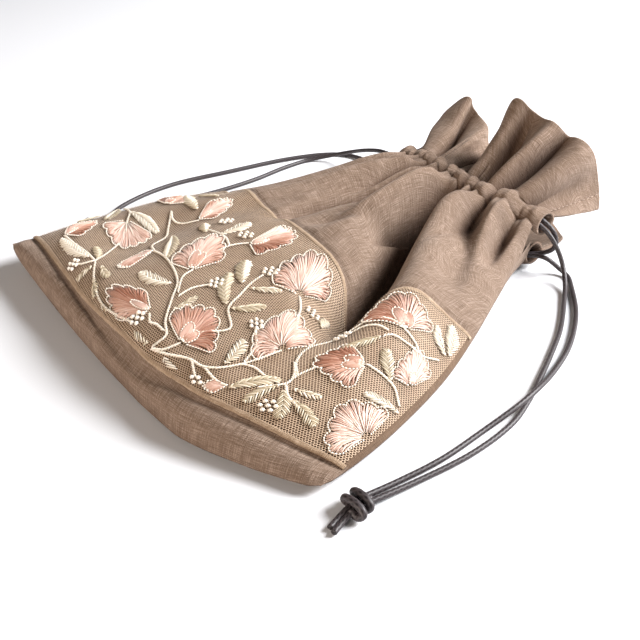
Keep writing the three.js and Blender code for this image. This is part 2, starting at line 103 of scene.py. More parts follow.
# Folds of the front, each a ridge (rise above 0) or a valley that starts at the gathers and runs down
FOLDS = table("neck low low_at neck_rise low_rise neck_width low_width fade", [
    (-0.70, -0.80, 0.62, -6.0, -3.0, 0.07, 0.09, 0.22),
    (-0.36, -0.56, 0.60, 4.5, 3.0, 0.10, 0.13, 0.28),
    (-0.47, -0.60, 0.72, -8.0, -4.0, 0.045, 0.055, 0.12),
    (-0.19, -0.24, 0.66, -14.0, -8.0, 0.05, 0.07, 0.16),
    (-0.05, -0.03, 0.76, -8.0, -4.0, 0.035, 0.045, 0.12),
    (0.06, 0.10, 0.72, 8.0, 6.0, 0.08, 0.10, 0.18),
    (0.18, 0.23, 0.76, -8.0, -6.0, 0.05, 0.06, 0.12),
    (0.18, 0.52, 0.50, -7.0, -7.0, 0.16, 0.14, 0.14),
    (0.25, 0.62, 0.50, -20.0, -15.0, 0.09, 0.10, 0.24),
    (0.42, 0.81, 0.50, 6.0, 8.0, 0.10, 0.11, 0.36),
    (0.60, 0.80, 0.74, -6.0, -2.0, 0.06, 0.07, 0.12),
    (0.74, 0.92, 0.70, 5.0, 2.0, 0.06, 0.07, 0.16),
    (0.85, 0.88, 0.88, -6.0, -3.0, 0.05, 0.06, 0.10),
    (-0.35, -0.45, 0.22, 0.0, -3.0, 0.14, 0.16, 0.16),
])
FOLD_EDGE = 0.12
GATHER_STARTS = 0.92
GATHER_SHARE = 0.7


def column(rows, name, at):
    """A smooth curve through one column of a table."""
    x = rows["at"]
    y = rows[name]
    slope = np.gradient(y, x)
    slope[1:-1] = (y[2:] - y[:-2]) / (x[2:] - x[:-2])
    i = np.clip(np.searchsorted(x, at, side="right") - 1, 0, len(x) - 2)
    span = x[i + 1] - x[i]
    s = (at - x[i]) / span
    start = (1 + 2 * s) * (1 - s) ** 2 * y[i] + s * (1 - s) ** 2 * span * slope[i]
    end = s * s * (3 - 2 * s) * y[i + 1] + s * s * (s - 1) * span * slope[i + 1]
    return start + end


def smoothstep(low, high, value):
    s = np.clip((value - low) / (high - low), 0, 1)
    return s * s * (3 - 2 * s)


def bell(distance, width):
    return np.exp(-((distance / width) ** 2))


def lopsided_bell(value, middle, left_width, right_width):
    return bell(value - middle, np.where(value < middle, left_width, right_width))


def off_sides(u, width):
    """0 at the bag's side seams, 1 from a share of the half width inside them."""
    return np.clip((1 - np.abs(u)) / width, 0, 1)


def lace_low(u):
    """The row of the lace's lower seam, which stands higher over the middle of the padded border."""
    return LACE_LOW + SEAM_RAISE * lopsided_bell(u, 0.1, 0.4, 0.5)


PUSH_AT = 0.45


def pushed(u):
    """How far the rows are pushed towards the bottom, 1 where they are most."""
    reach = np.where(u < PUSH_AT, 1 + PUSH_AT, 1 - PUSH_AT)
    return 1 - np.abs((u - PUSH_AT) / reach) ** 1.4


def slid(u, t):
    """The rows of cloth slip down over the full front, and where the main valley starts."""
    bottom = np.where(t < LACE_LOW, t / LACE_LOW, 1 - smoothstep(LACE_LOW, 0.36, t))
    valley = bell(u - 0.6, 0.13) * bell(t - LACE_HIGH, 0.18)
    return t - FRONT_SLIP * lopsided_bell(u, 0.12, 0.75, 0.38) * bottom - VALLEY_SLIP * valley


def plan(u, t):
    """A place of the bag seen from above."""
    x = column(BODY, "centre", t) + column(BODY, "half", t) * u
    y = BAG_LENGTH * t + column(BODY, "skew", t) * u - column(BODY, "bow", t) * pushed(u)
    return x, y


def seam_height(u, t):
    left = column(BODY, "left", t) * (1 - u) / 2
    right = column(BODY, "right", t) * (1 + u) / 2
    return left + right - column(BODY, "sag", t) * (1 - u * u)


def fullness(u, t):
    """How far the front stands above its side seams."""
    blunt = 0.6 - 0.17 * smoothstep(0.8, 1, t)
    across = np.maximum(0, 1 - np.abs(u) ** 2.2) ** blunt
    return column(BODY, "crown", t) * across + 0.6 * column(BODY, "sag", t) * (1 - u * u)


def nose_rise(u, t):
    """How the front rounds up from the bottom seam, 0 to 1."""
    steepness = 2 + 2.5 * lopsided_bell(u, 0.05, 0.62, 0.45)
    return 1 - (1 - np.clip(t / NOSE_ENDS, 0, 1)) ** steepness


def fold_line(neck, low, low_at, t):
    """A fold's place across the cloth: it runs from the gathers, then keeps to its low place."""
    run = (1 - t) / (1 - low_at)
    eased = np.where(run < 0.7, run, 1 - 0.3 * np.exp(-(run - 0.7) / 0.3))
    return neck + (low - neck) * eased


def fold_rise(u, t):
    rise = np.zeros(np.broadcast(u, t).shape)
    for neck, low, low_at, neck_rise, low_rise, neck_width, low_width, fade in zip(*FOLDS.values()):
        share = np.clip((1 - t) / (1 - low_at), 0, 1)
        height = neck_rise + (low_rise - neck_rise) * share
        width = neck_width + (low_width - neck_width) * share
        fading = smoothstep(low_at - fade, low_at, t)
        rise = rise + height * fading * bell(u - fold_line(neck, low, low_at, t), width)
    drawn_in = 1 - (1 - GATHER_SHARE) * smoothstep(GATHER_STARTS, 1, t)
    return rise * drawn_in * off_sides(u, FOLD_EDGE)


def overhang(u, t):
    """How far the bulge on the right of the main valley leans over it."""
    middle = fold_line(0.38, 0.74, 0.5, t)
    along = smoothstep(0.26, 0.48, t) * (1 - smoothstep(0.9, 1.0, t))
    return OVERHANG * along * bell(u - middle, 0.08)


def laid_out(u, row):
    """A row's t after its slip, and its place from above with the two bottom corners drawn in."""
    t = slid(u, row)
    x, y = plan(u, t)
    corner = smoothstep(0.95, 1.0, np.abs(u)) * (1 - smoothstep(0.0, 0.04, row))
    return t, x - np.sign(u) * CORNER_ROUNDING * corner, y + CORNER_ROUNDING * corner


def front(u, row):
    """A point of the bag's front, millimetres on the plan."""
    u, row = matched(u, row)
    t, x, y = laid_out(u, row)
    z = seam_height(u, t) + nose_rise(u, t) * (fullness(u, t) + fold_rise(u, t))
    return np.stack([x - overhang(u, t), y, z], -1)


def unit(vectors):
    return vectors / np.maximum(np.linalg.norm(vectors, axis=-1, keepdims=True), 1e-9)


def normals(surface, u, v):
    """The ways out of a surface at its places."""
    step = 1e-3
    across = surface(u + step, v) - surface(u - step, v)
    along = surface(u, v + step) - surface(u, v - step)
    return unit(np.cross(across, along))


def travelled(points):
    """How far along a line of points each one lies, as a share of the whole."""
    steps = np.linalg.norm(np.diff(points, axis=0), axis=-1)
    length = np.concatenate([[0.0], np.cumsum(steps)])
    return length / length[-1]


def line_length(points):
    return np.linalg.norm(np.diff(points, axis=0), axis=-1).sum()


def lace_tables():
    """Tables from the flat lace to the bag's u and t, even along the cloth both ways."""
    rows = np.linspace(LACE_LOW, LACE_HIGH, 80)
    across = np.linspace(-LACE_EDGE, LACE_EDGE, 401)
    shares = np.linspace(0, 1, 201)
    u_table = np.array([np.interp(shares, travelled(front(across, t)), across) for t in rows])
    columns = [np.interp(shares, travelled(front(u, rows)), rows) for u in u_table.T]
    return u_table, np.array(columns).T


def looked_up(values, row_share, column_share):
    """A table's value between its rows and columns."""
    r = np.clip(row_share, 0, 1) * (values.shape[0] - 1)
    c = np.clip(column_share, 0, 1) * (values.shape[1] - 1)
    i = np.minimum(r.astype(int), values.shape[0] - 2)
    j = np.minimum(c.astype(int), values.shape[1] - 2)
    a = r - i
    b = c - j
    low = values[i, j] * (1 - b) + values[i, j + 1] * b
    high = values[i + 1, j] * (1 - b) + values[i + 1, j + 1] * b
    return low * (1 - a) + high * a


LACE_U, LACE_T = lace_tables()


def lace_places(flat):
    """The bag's u and t under points of the flat lace, millimetres across from its middle and up."""
    column_share = (flat[..., 0] / LACE_HALF + 1) / 2
    t = looked_up(LACE_T, flat[..., 1] / LACE_TALL, column_share)
    u = looked_up(LACE_U, (t - LACE_LOW) / (LACE_HIGH - LACE_LOW), column_share)
    return u, t


# Meshes from arrays

def in_frame(points):
    """Millimetres on the plan to metres in the part's frame."""
    return (np.asarray(points, float) - PLAN_CENTRE) * MM


def linked(name, data):
    """A new object in the scene."""
    made = bpy.data.objects.new(name, data)
    bpy.context.scene.collection.objects.link(made)
    return made


def mesh_piece(name, points, faces, material, uv=None, shade=None):
    """A smooth mesh from points in millimetres and face arrays of one width each, riding on the pouch."""
    points = in_frame(points).reshape(-1, 3)
    corners = np.concatenate([part.ravel() for part in faces])
    sizes = np.concatenate([np.full(len(part), part.shape[1]) for part in faces])
    mesh = bpy.data.meshes.new(name)
    mesh.vertices.add(len(points))
    mesh.vertices.foreach_set("co", points.ravel())
    mesh.loops.add(len(corners))
    mesh.loops.foreach_set("vertex_index", corners.astype(np.int32))
    mesh.polygons.add(len(sizes))
    starts = np.concatenate([[0], np.cumsum(sizes)[:-1]])
    mesh.polygons.foreach_set("loop_start", starts.astype(np.int32))
    mesh.update(calc_edges=True)
    mesh.polygons.foreach_set("use_smooth", np.ones(len(sizes), bool))
    if uv is not None:
        layer = mesh.uv_layers.new(name="cloth")
        layer.uv.foreach_set("vector", uv.reshape(-1, 2)[corners].astype(np.float32).ravel())
    if shade is not None:
        layer = mesh.attributes.new("shade", "FLOAT", "POINT")
        layer.data.foreach_set("value", np.asarray(shade, np.float32).ravel())
    mesh.validate()
    mesh.materials.append(material)
    piece = linked(name, mesh)
    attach(piece, "root")
    return piece


def grid_faces(rows, columns, wrap_rows=False, wrap_columns=False):
    """Four-cornered faces of a grid of points, closed round where it wraps."""
    index = np.arange(rows * columns).reshape(rows, columns)
    if wrap_rows:
        index = np.vstack([index, index[:1]])
    if wrap_columns:
        index = np.hstack([index, index[:, :1]])
    low = index[:-1]
    high = index[1:]
    return np.stack([low[:, :-1], low[:, 1:], high[:, 1:], high[:, :-1]], -1).reshape(-1, 4)


def cloth_uv(points):
    """Cloth coordinates of a grid, millimetres along its rows and columns."""
    across = np.linalg.norm(np.diff(points, axis=1), axis=-1)
    along = np.linalg.norm(np.diff(points, axis=0), axis=-1)
    across = np.pad(np.cumsum(across, 1), ((0, 0), (1, 0)))
    along = np.pad(np.cumsum(along, 0), ((1, 0), (0, 0)))
    middle = across[:, across.shape[1] // 2][:, None]
    return np.stack([across - middle, along], -1)


def strands(points, ups, radii, sides):
    """Points and faces of many short tubes at once: points[strand, step], each closed at both ends."""
    count, steps = points.shape[:2]
    tangent = unit(np.gradient(points, axis=1))
    side = unit(np.cross(tangent, ups))
    up = np.cross(side, tangent)
    angle = np.linspace(0, 2 * np.pi, sides, endpoint=False)
    ring = np.cos(angle)[:, None] * side[:, :, None] + np.sin(angle)[:, None] * up[:, :, None]
    tube = points[:, :, None] + radii[:, :, None, None] * ring
    one = grid_faces(steps, sides, wrap_columns=True)
    first = (np.arange(count) * steps * sides)[:, None, None]
    walls = (one[None] + first).reshape(-1, 4)
    start = np.arange(sides)[::-1][None] + first[:, 0]
    end = np.arange(sides)[None] + (steps - 1) * sides + first[:, 0]
    return tube.reshape(-1, 3), [walls, start, end]


def curve_through(points, spacing):
    """A centripetal spline through points, as points at even spacing."""
    points = np.asarray(points, float)
    ends = [2 * points[0] - points[1], *points, 2 * points[-1] - points[-2]]
    line = [points[0]]
    for a, b, c, d in zip(ends[:-3], ends[1:-2], ends[2:-1], ends[3:]):
        ta = np.linalg.norm(b - a) ** 0.5
        tb = np.linalg.norm(c - b) ** 0.5
        tc = np.linalg.norm(d - c) ** 0.5
        leave = ((b - a) / ta - (c - a) / (ta + tb) + (c - b) / tb) * tb
        arrive = ((c - b) / tb - (d - b) / (tb + tc) + (d - c) / tc) * tb
        s = np.linspace(0, 1, 25)[1:, None]
        line.extend((2 * s**3 - 3 * s**2 + 1) * b + (s**3 - 2 * s**2 + s) * leave
                    + (3 * s**2 - 2 * s**3) * c + (s**3 - s**2) * arrive)
    return evenly(np.array(line), spacing)


def evenly(line, spacing):
    """A line stepped again at about a spacing."""
    share = travelled(line)
    steps = max(int(round(line_length(line) / spacing)), 2)
    places = np.linspace(0, 1, steps + 1)
    return np.stack([np.interp(places, share, line[:, k]) for k in range(line.shape[1])], -1)


# Materials

def node(tree, kind, inputs=(), **settings):
    """A shader node with its settings; inputs are pairs of a socket's name and a value or another socket."""
    made = tree.nodes.new(kind)
    for name, value in settings.items():
        setattr(made, name, value)
    for name, value in inputs:
        if isinstance(value, bpy.types.NodeSocket):
            tree.links.new(value, made.inputs[name])
        else:
            made.inputs[name].default_value = value
    return made


def new_material(name, sockets):
    """A material with constant values on its shader's own sockets."""
    material = bpy.data.materials.new(name)
    material.use_nodes = True
    shader = material.node_tree.nodes["Principled BSDF"]
    for socket, value in sockets.items():
        shader.inputs[socket].default_value = value
    return material, material.node_tree, shader


def ramp(tree, value, stops):
    made = node(tree, "ShaderNodeValToRGB", [("Fac", value)])
    elements = made.color_ramp.elements
    while len(elements) < len(stops):
        elements.new(0.5)
    for element, (place, colour) in zip(elements, stops):
        element.position = place
        element.color = (*colour, 1)
    return made.outputs["Color"]


def stretched_noise(tree, place, scale, detail=2.0):
    """Noise drawn out by a different scale each way."""
    mapped = node(tree, "ShaderNodeMapping", [("Vector", place), ("Scale", scale)])
    inputs = [("Vector", mapped.outputs["Vector"]), ("Scale", 1.0), ("Detail", detail), ("Roughness", 0.6)]
    return node(tree, "ShaderNodeTexNoise", inputs).outputs["Fac"]


def arithmetic(tree, operation, *values):
    return node(tree, "ShaderNodeMath", enumerate(values), operation=operation).outputs["Value"]


def own_shade(tree):
    """The shade that each point of a mesh carries."""
    return node(tree, "ShaderNodeAttribute", attribute_name="shade").outputs["Fac"]


def object_place(tree):
    return node(tree, "ShaderNodeTexCoord").outputs["Object"]


def add_relief(tree, shader, height, strength, distance):
    bump = node(tree, "ShaderNodeBump", [("Height", height), ("Strength", strength), ("Distance", distance)])
    tree.links.new(bump.outputs["Normal"], shader.inputs["Normal"])


def blended(tree, share, low, high):
    """One colour to another by a share."""
    mixed = node(tree, "ShaderNodeMix", data_type="RGBA")
    sockets = {socket.identifier: socket for socket in mixed.inputs}
    tree.links.new(share, sockets["Factor_Float"])
    tree.links.new(low, sockets["A_Color"])
    tree.links.new(high, sockets["B_Color"])
    return next(socket for socket in mixed.outputs if socket.identifier == "Result_Color")


DARK_AT, MIDDLE_AT, LIGHT_AT = 0.54, 0.8, 1.0  # tones of the weave that take the linen's three colours
# Colours of the painted shadow that the net casts on the linen under it
NET_SHADE_DARK = (0.07, 0.041, 0.025)
NET_SHADE_LIGHT = (0.21, 0.135, 0.088)
# Painted shade in the cloth's creases: the darkest tint multiplied in, and how far round the hollows are
# sought
CREASE_SHADE_TINT = (0.32, 0.23, 0.18)
CREASE_SHADE_REACH = 0.016  # metres
SLUB_LONG = 0.14  # noise cells per millimetre along a slub of the weave
SLUB_FINE = 3.0  # and across it


def painted_crease_shade(tree, colour):
    """Painted shade: a colour made deeper and browner where the cloth closes in on itself."""
    # How open each point is to its surroundings drives the painted crease shade
    openness = node(tree, "ShaderNodeAmbientOcclusion", [("Distance", CREASE_SHADE_REACH)], samples=8).outputs["AO"]
    tint = ramp(tree, openness, [(0.15, CREASE_SHADE_TINT), (0.82, (1.0, 1.0, 1.0))])
    made = node(tree, "ShaderNodeVectorMath", [(0, colour), (1, tint)], operation="MULTIPLY")
    return made.outputs["Vector"]


def linen_material(name, dark, middle, light):
    """Plain-woven linen with slubs both ways and a soft mottling, with a painted shadow of the net under the
    lace and painted shade in its creases.
    """
    material, tree, shader = new_material(name, {
        "Roughness": 0.92, "Sheen Weight": 0.14, "Sheen Roughness": 0.45, "Sheen Tint": (0.95, 0.82, 0.72, 1),
        "Specular IOR Level": 0.2,
    })
    place = node(tree, "ShaderNodeUVMap", uv_map="cloth").outputs["UV"]
    weft = stretched_noise(tree, place, (SLUB_LONG, SLUB_FINE, 1.0), 1.0)
    warp = stretched_noise(tree, place, (SLUB_FINE, SLUB_LONG, 1.0), 1.0)
    mottling = stretched_noise(tree, place, (0.07, 0.07, 1.0), 3.0)
    grain = stretched_noise(tree, place, (SLUB_FINE, SLUB_FINE, 1.0), 2.0)
    slubs = arithmetic(tree, "ADD", weft, warp)
    tone = arithmetic(tree, "MULTIPLY_ADD", slubs, 0.5, arithmetic(tree, "MULTIPLY", mottling, 0.16))
    tone = arithmetic(tree, "MULTIPLY_ADD", grain, 0.45, tone)
    colour = ramp(tree, tone, [(DARK_AT, dark), (MIDDLE_AT, middle), (LIGHT_AT, light)])
    # Painted shadow of the net: under the lace the linen takes these darker colours by its shade attribute
    dim = ramp(tree, tone, [(DARK_AT, NET_SHADE_DARK), (LIGHT_AT, NET_SHADE_LIGHT)])
    colour = blended(tree, own_shade(tree), colour, dim)
    tree.links.new(painted_crease_shade(tree, colour), shader.inputs["Base Color"])
    height = arithmetic(tree, "MULTIPLY_ADD", grain, 0.6, slubs)
    add_relief(tree, shader, height, strength=0.6, distance=0.0005)
    return material


def thread_material(name, stops, roughness=0.42):
    """Embroidery thread, its colour by each stitch's own shade."""
    material, tree, shader = new_material(name, {
        "Roughness": roughness, "Sheen Weight": 0.15, "Sheen Roughness": 0.35, "Specular IOR Level": 0.45,
    })
    shade = own_shade(tree)
    place = object_place(tree)
    fibre = stretched_noise(tree, place, (2400.0, 2400.0, 2400.0))
    tone = arithmetic(tree, "MULTIPLY_ADD", arithmetic(tree, "SUBTRACT", fibre, 0.5), 0.12, shade)
    tree.links.new(ramp(tree, tone, stops), shader.inputs["Base Color"])
    add_relief(tree, shader, fibre, strength=0.25, distance=0.0002)
    return material


def net_material():
    material, tree, shader = new_material("net", {
        "Roughness": 0.6, "Sheen Weight": 0.2, "Specular IOR Level": 0.3,
    })
    place = object_place(tree)
    cloudy = stretched_noise(tree, place, (90.0, 90.0, 90.0), 3.0)
    stops = [(0.3, (0.54, 0.38, 0.25)), (0.7, (0.74, 0.555, 0.395))]
    tree.links.new(ramp(tree, cloudy, stops), shader.inputs["Base Color"])
    return material


def cord_material():
    """Waxed dark braid, with a painted highlight a little paler on its ridges and painted shade in its
    grooves.
    """
    material, tree, shader = new_material("waxed_cord", {
        "Roughness": 0.48, "Sheen Weight": 0.1, "Sheen Roughness": 0.4, "Sheen Tint": (0.62, 0.55, 0.6, 1),
        "Specular IOR Level": 0.4,
    })
    # The shade attribute is the braid's painted highlight on its ridges and painted shade in its grooves
    shade = own_shade(tree)
    place = object_place(tree)
    wear = stretched_noise(tree, place, (700.0, 700.0, 700.0), 3.0)
    tone = arithmetic(tree, "MULTIPLY_ADD", wear, 0.3, arithmetic(tree, "MULTIPLY", shade, 0.7))
    stops = [(0.25, (0.006, 0.004, 0.004)), (0.55, (0.028, 0.021, 0.022)), (0.85, (0.065, 0.052, 0.054))]
    tree.links.new(ramp(tree, tone, stops), shader.inputs["Base Color"])
    add_relief(tree, shader, wear, strength=0.2, distance=0.0003)
    return material


BRICK = (0.36, 0.155, 0.095)
ROSE = (0.50, 0.28, 0.2)
PINK = (0.62, 0.395, 0.31)
PALE = (0.76, 0.58, 0.495)
IVORY = (0.84, 0.765, 0.655)
SAGE = (0.45, 0.365, 0.235)
SAND = (0.64, 0.55, 0.41)
LINEN = linen_material("linen", (0.094, 0.0575, 0.037), (0.2, 0.137, 0.098), (0.36, 0.27, 0.215))
HEM = linen_material("hem_tape", (0.2, 0.13, 0.08), (0.34, 0.24, 0.16), (0.5, 0.385, 0.28))
NET = net_material()
PETAL_THREAD = thread_material("petal_thread", [(0.0, BRICK), (0.35, ROSE), (0.65, PINK), (1.0, PALE)], 0.36)
IVORY_THREAD = thread_material("ivory_thread", [(0.0, SAND), (0.4, IVORY), (1.0, (0.92, 0.86, 0.77))])
LEAF_THREAD = thread_material("leaf_thread", [(0.0, SAGE), (0.5, SAND), (1.0, IVORY)])
SEWING_STOPS = [(0.0, (0.2, 0.135, 0.095)), (1.0, (0.42, 0.31, 0.235))]
SEWING_THREAD = thread_material("sewing_thread", SEWING_STOPS, 0.6)
CORD = cord_material()


# Camera, at the photograph's angle

CAMERA_PLACE = (0.26696, -0.24407, 0.20798)


def add_camera():
    right = Vector((0.65885, 0.75227, 0.0))
    down = Vector((0.40198, -0.35206, -0.84526))
    forward = Vector((-0.63587, 0.55690, -0.53435))
    data = bpy.data.cameras.new("camera")
    data.lens = 56.25
    data.sensor_width = 36.0
    camera = linked("camera", data)
    turn = Matrix((right, -down, -forward)).transposed().to_4x4()
    camera.matrix_world = Matrix.Translation(CAMERA_PLACE) @ turn
    bpy.context.scene.camera = camera


# Casings' middle lines, which the cords follow

CASINGS = table("at front back", [
    (-1.10, 17.6, 7.0),
    (-0.80, 23.0, 4.8),
    (-0.40, 27.5, 4.3),
    (0.00, 29.0, 4.3),
    (0.40, 30.0, 4.3),
    (0.75, 28.0, 4.8),
    (1.03, 20.5, 7.0),
])
TILTS = {"front": CASING_TILT, "back": 0.0}
TILT_CLEAR = 0.4


def casing_direction(side):
    return np.array([0.0, np.cos(TILTS[side]), np.sin(TILTS[side])])


def casing_middle(side, u):
    u = np.asarray(u, float)
    x, y = plan(u, np.ones_like(u))
    clear = CASING_HALF_WIDTH + SEAT_GAP + TILT_CLEAR * np.sin(TILTS[side])
    return np.stack([x, y + clear, column(CASINGS, side, u)], -1)


# Drawcords: each runs from its knot through one casing, round the far end and back through the other

CORD_DIAMETER = 2.0
CORDS_APART = 1.4
RIGHT_FRONT_STRAND = [
    (56, 164, 17.8), (60.6, 164.6, 12.4), (64.6, 164, 6.4), (70, 159, 2.4), (77.4, 148.7, 1.2),
    (88.5, 131.8, 1.2), (97.4, 114, 1.2), (104.8, 97.5, 1.2), (109.6, 86, 1.2), (113.6, 73, 1.2),
    (115.1, 52, 1.2), (112.8, 29, 1.2), (110.7, 10.9, 2.2),
]
RIGHT_BACK_STRAND = [
    (56.2, 163.9, 7), (60.4, 167.8, 2.6), (65, 167.4, 1.2), (72.2, 160.7, 1.2), (85.6, 145.6, 1.2),
    (98, 124.6, 1.2), (104.6, 106.5, 1.6), (108.9, 91, 3.5), (110.1, 80.5, 3.2), (109.8, 63.6, 1.2),
    (110.6, 42, 1.2), (109, 24, 1.3), (107.9, 11, 2.3),
]
LEFT_FRONT_STRAND = [
    (-47, 175.2, 17.4), (-56, 175.6, 16.4), (-68, 177, 12.6), (-80.5, 178, 7.4), (-91, 174.2, 3.2),
    (-97.6, 165, 1.2), (-98.4, 150, 1.2), (-96.8, 130, 1.2), (-97.8, 108, 1.2), (-101.6, 84, 1.2),
    (-103.6, 62, 1.2), (-101.2, 42.5, 2.2),
]
LEFT_BACK_STRAND = [
    (-47, 176.6, 7), (-56, 181.8, 3.4), (-66, 186, 1.3), (-78.5, 187.4, 1.2), (-89.5, 184.6, 1.2),
    (-97.2, 177, 1.2), (-105.7, 158, 1.2), (-113.1, 125.2, 1.2), (-118.6, 98, 1.2), (-118, 79, 1.2),
    (-113.6, 62, 1.2), (-107.6, 51.4, 1.3), (-104, 42.6, 2.3),
]
THREADED_AT = np.array([1.0, 0.84, 0.55, 0.2, -0.2, -0.55, -0.85, -1.07])
RIGHT_TURN = [(55.5, 167.2, 18), (57, 167.8, 13.4), (55.5, 167.6, 9.6)]
LEFT_TURN = [(-44.6, 172.8, 15.8), (-46.2, 172.2, 12), (-44.6, 172.6, 8.2)]
RIGHT_KNOT = (109.4, 6.6, 0.16)  # across, along, heading in radians
LEFT_KNOT = (-102.4, 38.4, 0.12)
RING_SPACING = 0.4
CORD_SIDES = 20
BRAID_PITCH = 2.2
BRAID_RIDGES = 5
BRAID_DEPTH = 0.04  # share of the radius that the ridges stand out or in


def threaded(casing, side):
    return casing_middle(casing, THREADED_AT) + side * CORDS_APART * casing_direction(casing)


def cord_route(side, front_strand, back_strand, far_turn):
    """A cord's route from its knot and back; in the casings the right cord lies on side -1, the left on 1."""
    through_front = threaded("front", side)[::-side]
    through_back = threaded("back", side)[::side]
    return [*front_strand[::-1], *through_front, *far_turn, *through_back, *back_strand]


def carried_frame(line):
    """Two directions square to a line, carried along it without twist."""
    tangent = unit(np.gradient(line, axis=0))
    side = np.zeros_like(line)
    side[0] = unit(np.cross(tangent[0], (0.0, 0.0, 1.0)))
    for i in range(1, len(line)):
        side[i] = unit(side[i - 1] - tangent[i] * (side[i - 1] @ tangent[i]))
    return side, np.cross(side, tangent)


def braided_tube(line, diameter=CORD_DIAMETER):
    """A cord round a line, with the two crossing sets of ridges of a round braid, and a shade that paints a
    highlight on the ridges and shade in the grooves.
    """
    side, up = carried_frame(line)
    angle = np.linspace(0, 2 * np.pi, CORD_SIDES, endpoint=False)
    along = np.arange(len(line))[:, None] * RING_SPACING * 2 * np.pi / BRAID_PITCH
    ridges = np.maximum(np.cos(BRAID_RIDGES * angle + along), np.cos(BRAID_RIDGES * angle - along))
    radius = diameter / 2 * (1 - BRAID_DEPTH + BRAID_DEPTH * ridges)
    ring = np.cos(angle)[None, :, None] * side[:, None] + np.sin(angle)[None, :, None] * up[:, None]
    points = line[:, None] + radius[..., None] * ring
    faces = grid_faces(len(line), CORD_SIDES, wrap_columns=True)
    last = (len(line) - 1) * CORD_SIDES
    start = np.arange(CORD_SIDES)[::-1][None]
    end = np.arange(CORD_SIDES)[None] + last
    return points.reshape(-1, 3), [faces, start, end], (0.5 + 0.5 * ridges).ravel()


def joined(parts):
    """One set of points, faces and shades from several."""
    points, faces, shades = [], [], []
    first = 0
    for part_points, part_faces, part_shades in parts:
        points.append(part_points)
        faces.extend(part + first for part in part_faces)
        shades.append(part_shades)
        first += len(part_points)
    return np.concatenate(points), faces, np.concatenate(shades)


# An overhand knot in both strands of a cord, drawn along +Y from the tails to the strands

KNOT_WIDE = 3.9
KNOT_TALL = 1.9
KNOT_HEIGHT = 3.3
KNOT_PITCH = 4.0
KNOT_BAND = 2.7  # the two strands of a turn, pressed into one
STRANDS_APART = 1.0
SHORTER_TAIL = 3  # rings that one of the two tails is cut shorter
KNOT_CORE = [
    (0, 5.2, 2.4), (0, 2.4, 2.9), (0, -0.5, 3.2), (-0.2, -3.6, 2.8), (-0.5, -6.6, 1.8),
    (-0.4, -9.6, 1.3), (0, -12.6, 1.2),
]


def knot_core(side):
    """One of the two strands straight through the knot, from the cord to its cut tail."""
    line = curve_through(KNOT_CORE, RING_SPACING)
    across, _ = carried_frame(line)
    line = line + side * STRANDS_APART * across
    return line[:len(line) - (SHORTER_TAIL if side > 0 else 0)]


def knot_turns():
    """The strands wound nearly twice round the core, a little wider towards the tails."""
    turn = np.radians(np.linspace(-150, 500, 56))
    along = KNOT_PITCH * (0.5 - turn / (2 * np.pi))
    wide = KNOT_WIDE * (1.05 - 0.1 * along / KNOT_PITCH)
    wound = np.stack([wide * np.sin(turn), along, KNOT_HEIGHT + KNOT_TALL * np.cos(turn)], -1)
    inside = [(0.0, along[0], KNOT_HEIGHT), (0.0, along[-1], KNOT_HEIGHT)]
    return curve_through(np.vstack([inside[0], wound, inside[1]]), RING_SPACING)


def knot_piece(name, place):
    x, y, heading = place
    cos, sin = np.cos(heading), np.sin(heading)
    turn = np.array([[cos, sin, 0], [-sin, cos, 0], [0, 0, 1]])
    lines = [(knot_core(-1), CORD_DIAMETER), (knot_core(1), CORD_DIAMETER), (knot_turns(), KNOT_BAND)]
    tubes = [braided_tube(line @ turn + (x, y, 0.0), diameter) for line, diameter in lines]
    points, faces, shade = joined(tubes)
    piece = mesh_piece(name + "_strands", points, faces, CORD, shade=shade)
    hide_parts(name)
    return piece


def cord_piece(name, route):
    line = curve_through(route, RING_SPACING)
    points, faces, shade = braided_tube(line)
    piece = mesh_piece(name + "_braid", points, faces, CORD, shade=shade)
    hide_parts(name)


add_camera()
knot_right = knot_piece("knot_right", RIGHT_KNOT)
knot_left = knot_piece("knot_left", LEFT_KNOT)
right_route = cord_route(-1, RIGHT_FRONT_STRAND, RIGHT_BACK_STRAND, LEFT_TURN)
left_route = cord_route(1, LEFT_FRONT_STRAND, LEFT_BACK_STRAND, RIGHT_TURN)
cord_piece("cord_right", right_route)
cord_piece("cord_left", left_route)


# Bag: a full front panel and a flat back panel

# Creases of the drawn-up cloth, which run from the bag through a casing into its frill
CREASES = np.array([-1.2, -0.74, -0.53, -0.33, -0.12, 0.08, 0.25, 0.42, 0.6, 0.86, 1.2])
MAIN_CREASES = np.array([-1.2, -0.74, -0.33, -0.12, 0.25, 0.6, 0.86, 1.2])
WIDE_PUFF = 0.26

# Heights of the bag's small forms, millimetres
FOLD_DEPTH = 12.5
RIGHT_FOLDS_LESS = 6.0
GATHER_DEPTH = 3.6
FINE_GATHERS = 0.5
SLACK = 0.25
HOLLOW = 3.0
PUFF_END = 3.4
SEAM_GROOVE = 0.65
BORDER_ROLL = 2.3
CASING_LAP = 2.6
BACK_WAVES = 0.35
BACK_CLEAR = 0.06

# Rows of the front, as shares of the bag's length
BESIDE_SEAM = 0.011
GROOVE_WIDTH = 0.007
NET_SHADE_FADE = 0.006
FRONT_ENDS = 1.012  # the row inside the casing where the front panel ends


def pleats(u, roundness=0.65, creases=CREASES):
    """Puffs between the creases, 0 in a crease to 1 on the widest puff."""
    i = np.clip(np.searchsorted(creases, u, side="right") - 1, 0, len(creases) - 2)
    width = creases[i + 1] - creases[i]
    share = np.clip((u - creases[i]) / width, 0, 1)
    return np.sin(np.pi * share) ** roundness * (0.6 + 0.4 * np.minimum(width / WIDE_PUFF, 1))


def puff_end(u, t):
    """The short crease across the folds where the middle puff ends."""
    within = smoothstep(0.56, 0.66, t) * (1 - smoothstep(0.76, 0.83, t))
    return -PUFF_END * within * bell(u - 0.21 + 1.36 * (0.78 - t), 0.06)


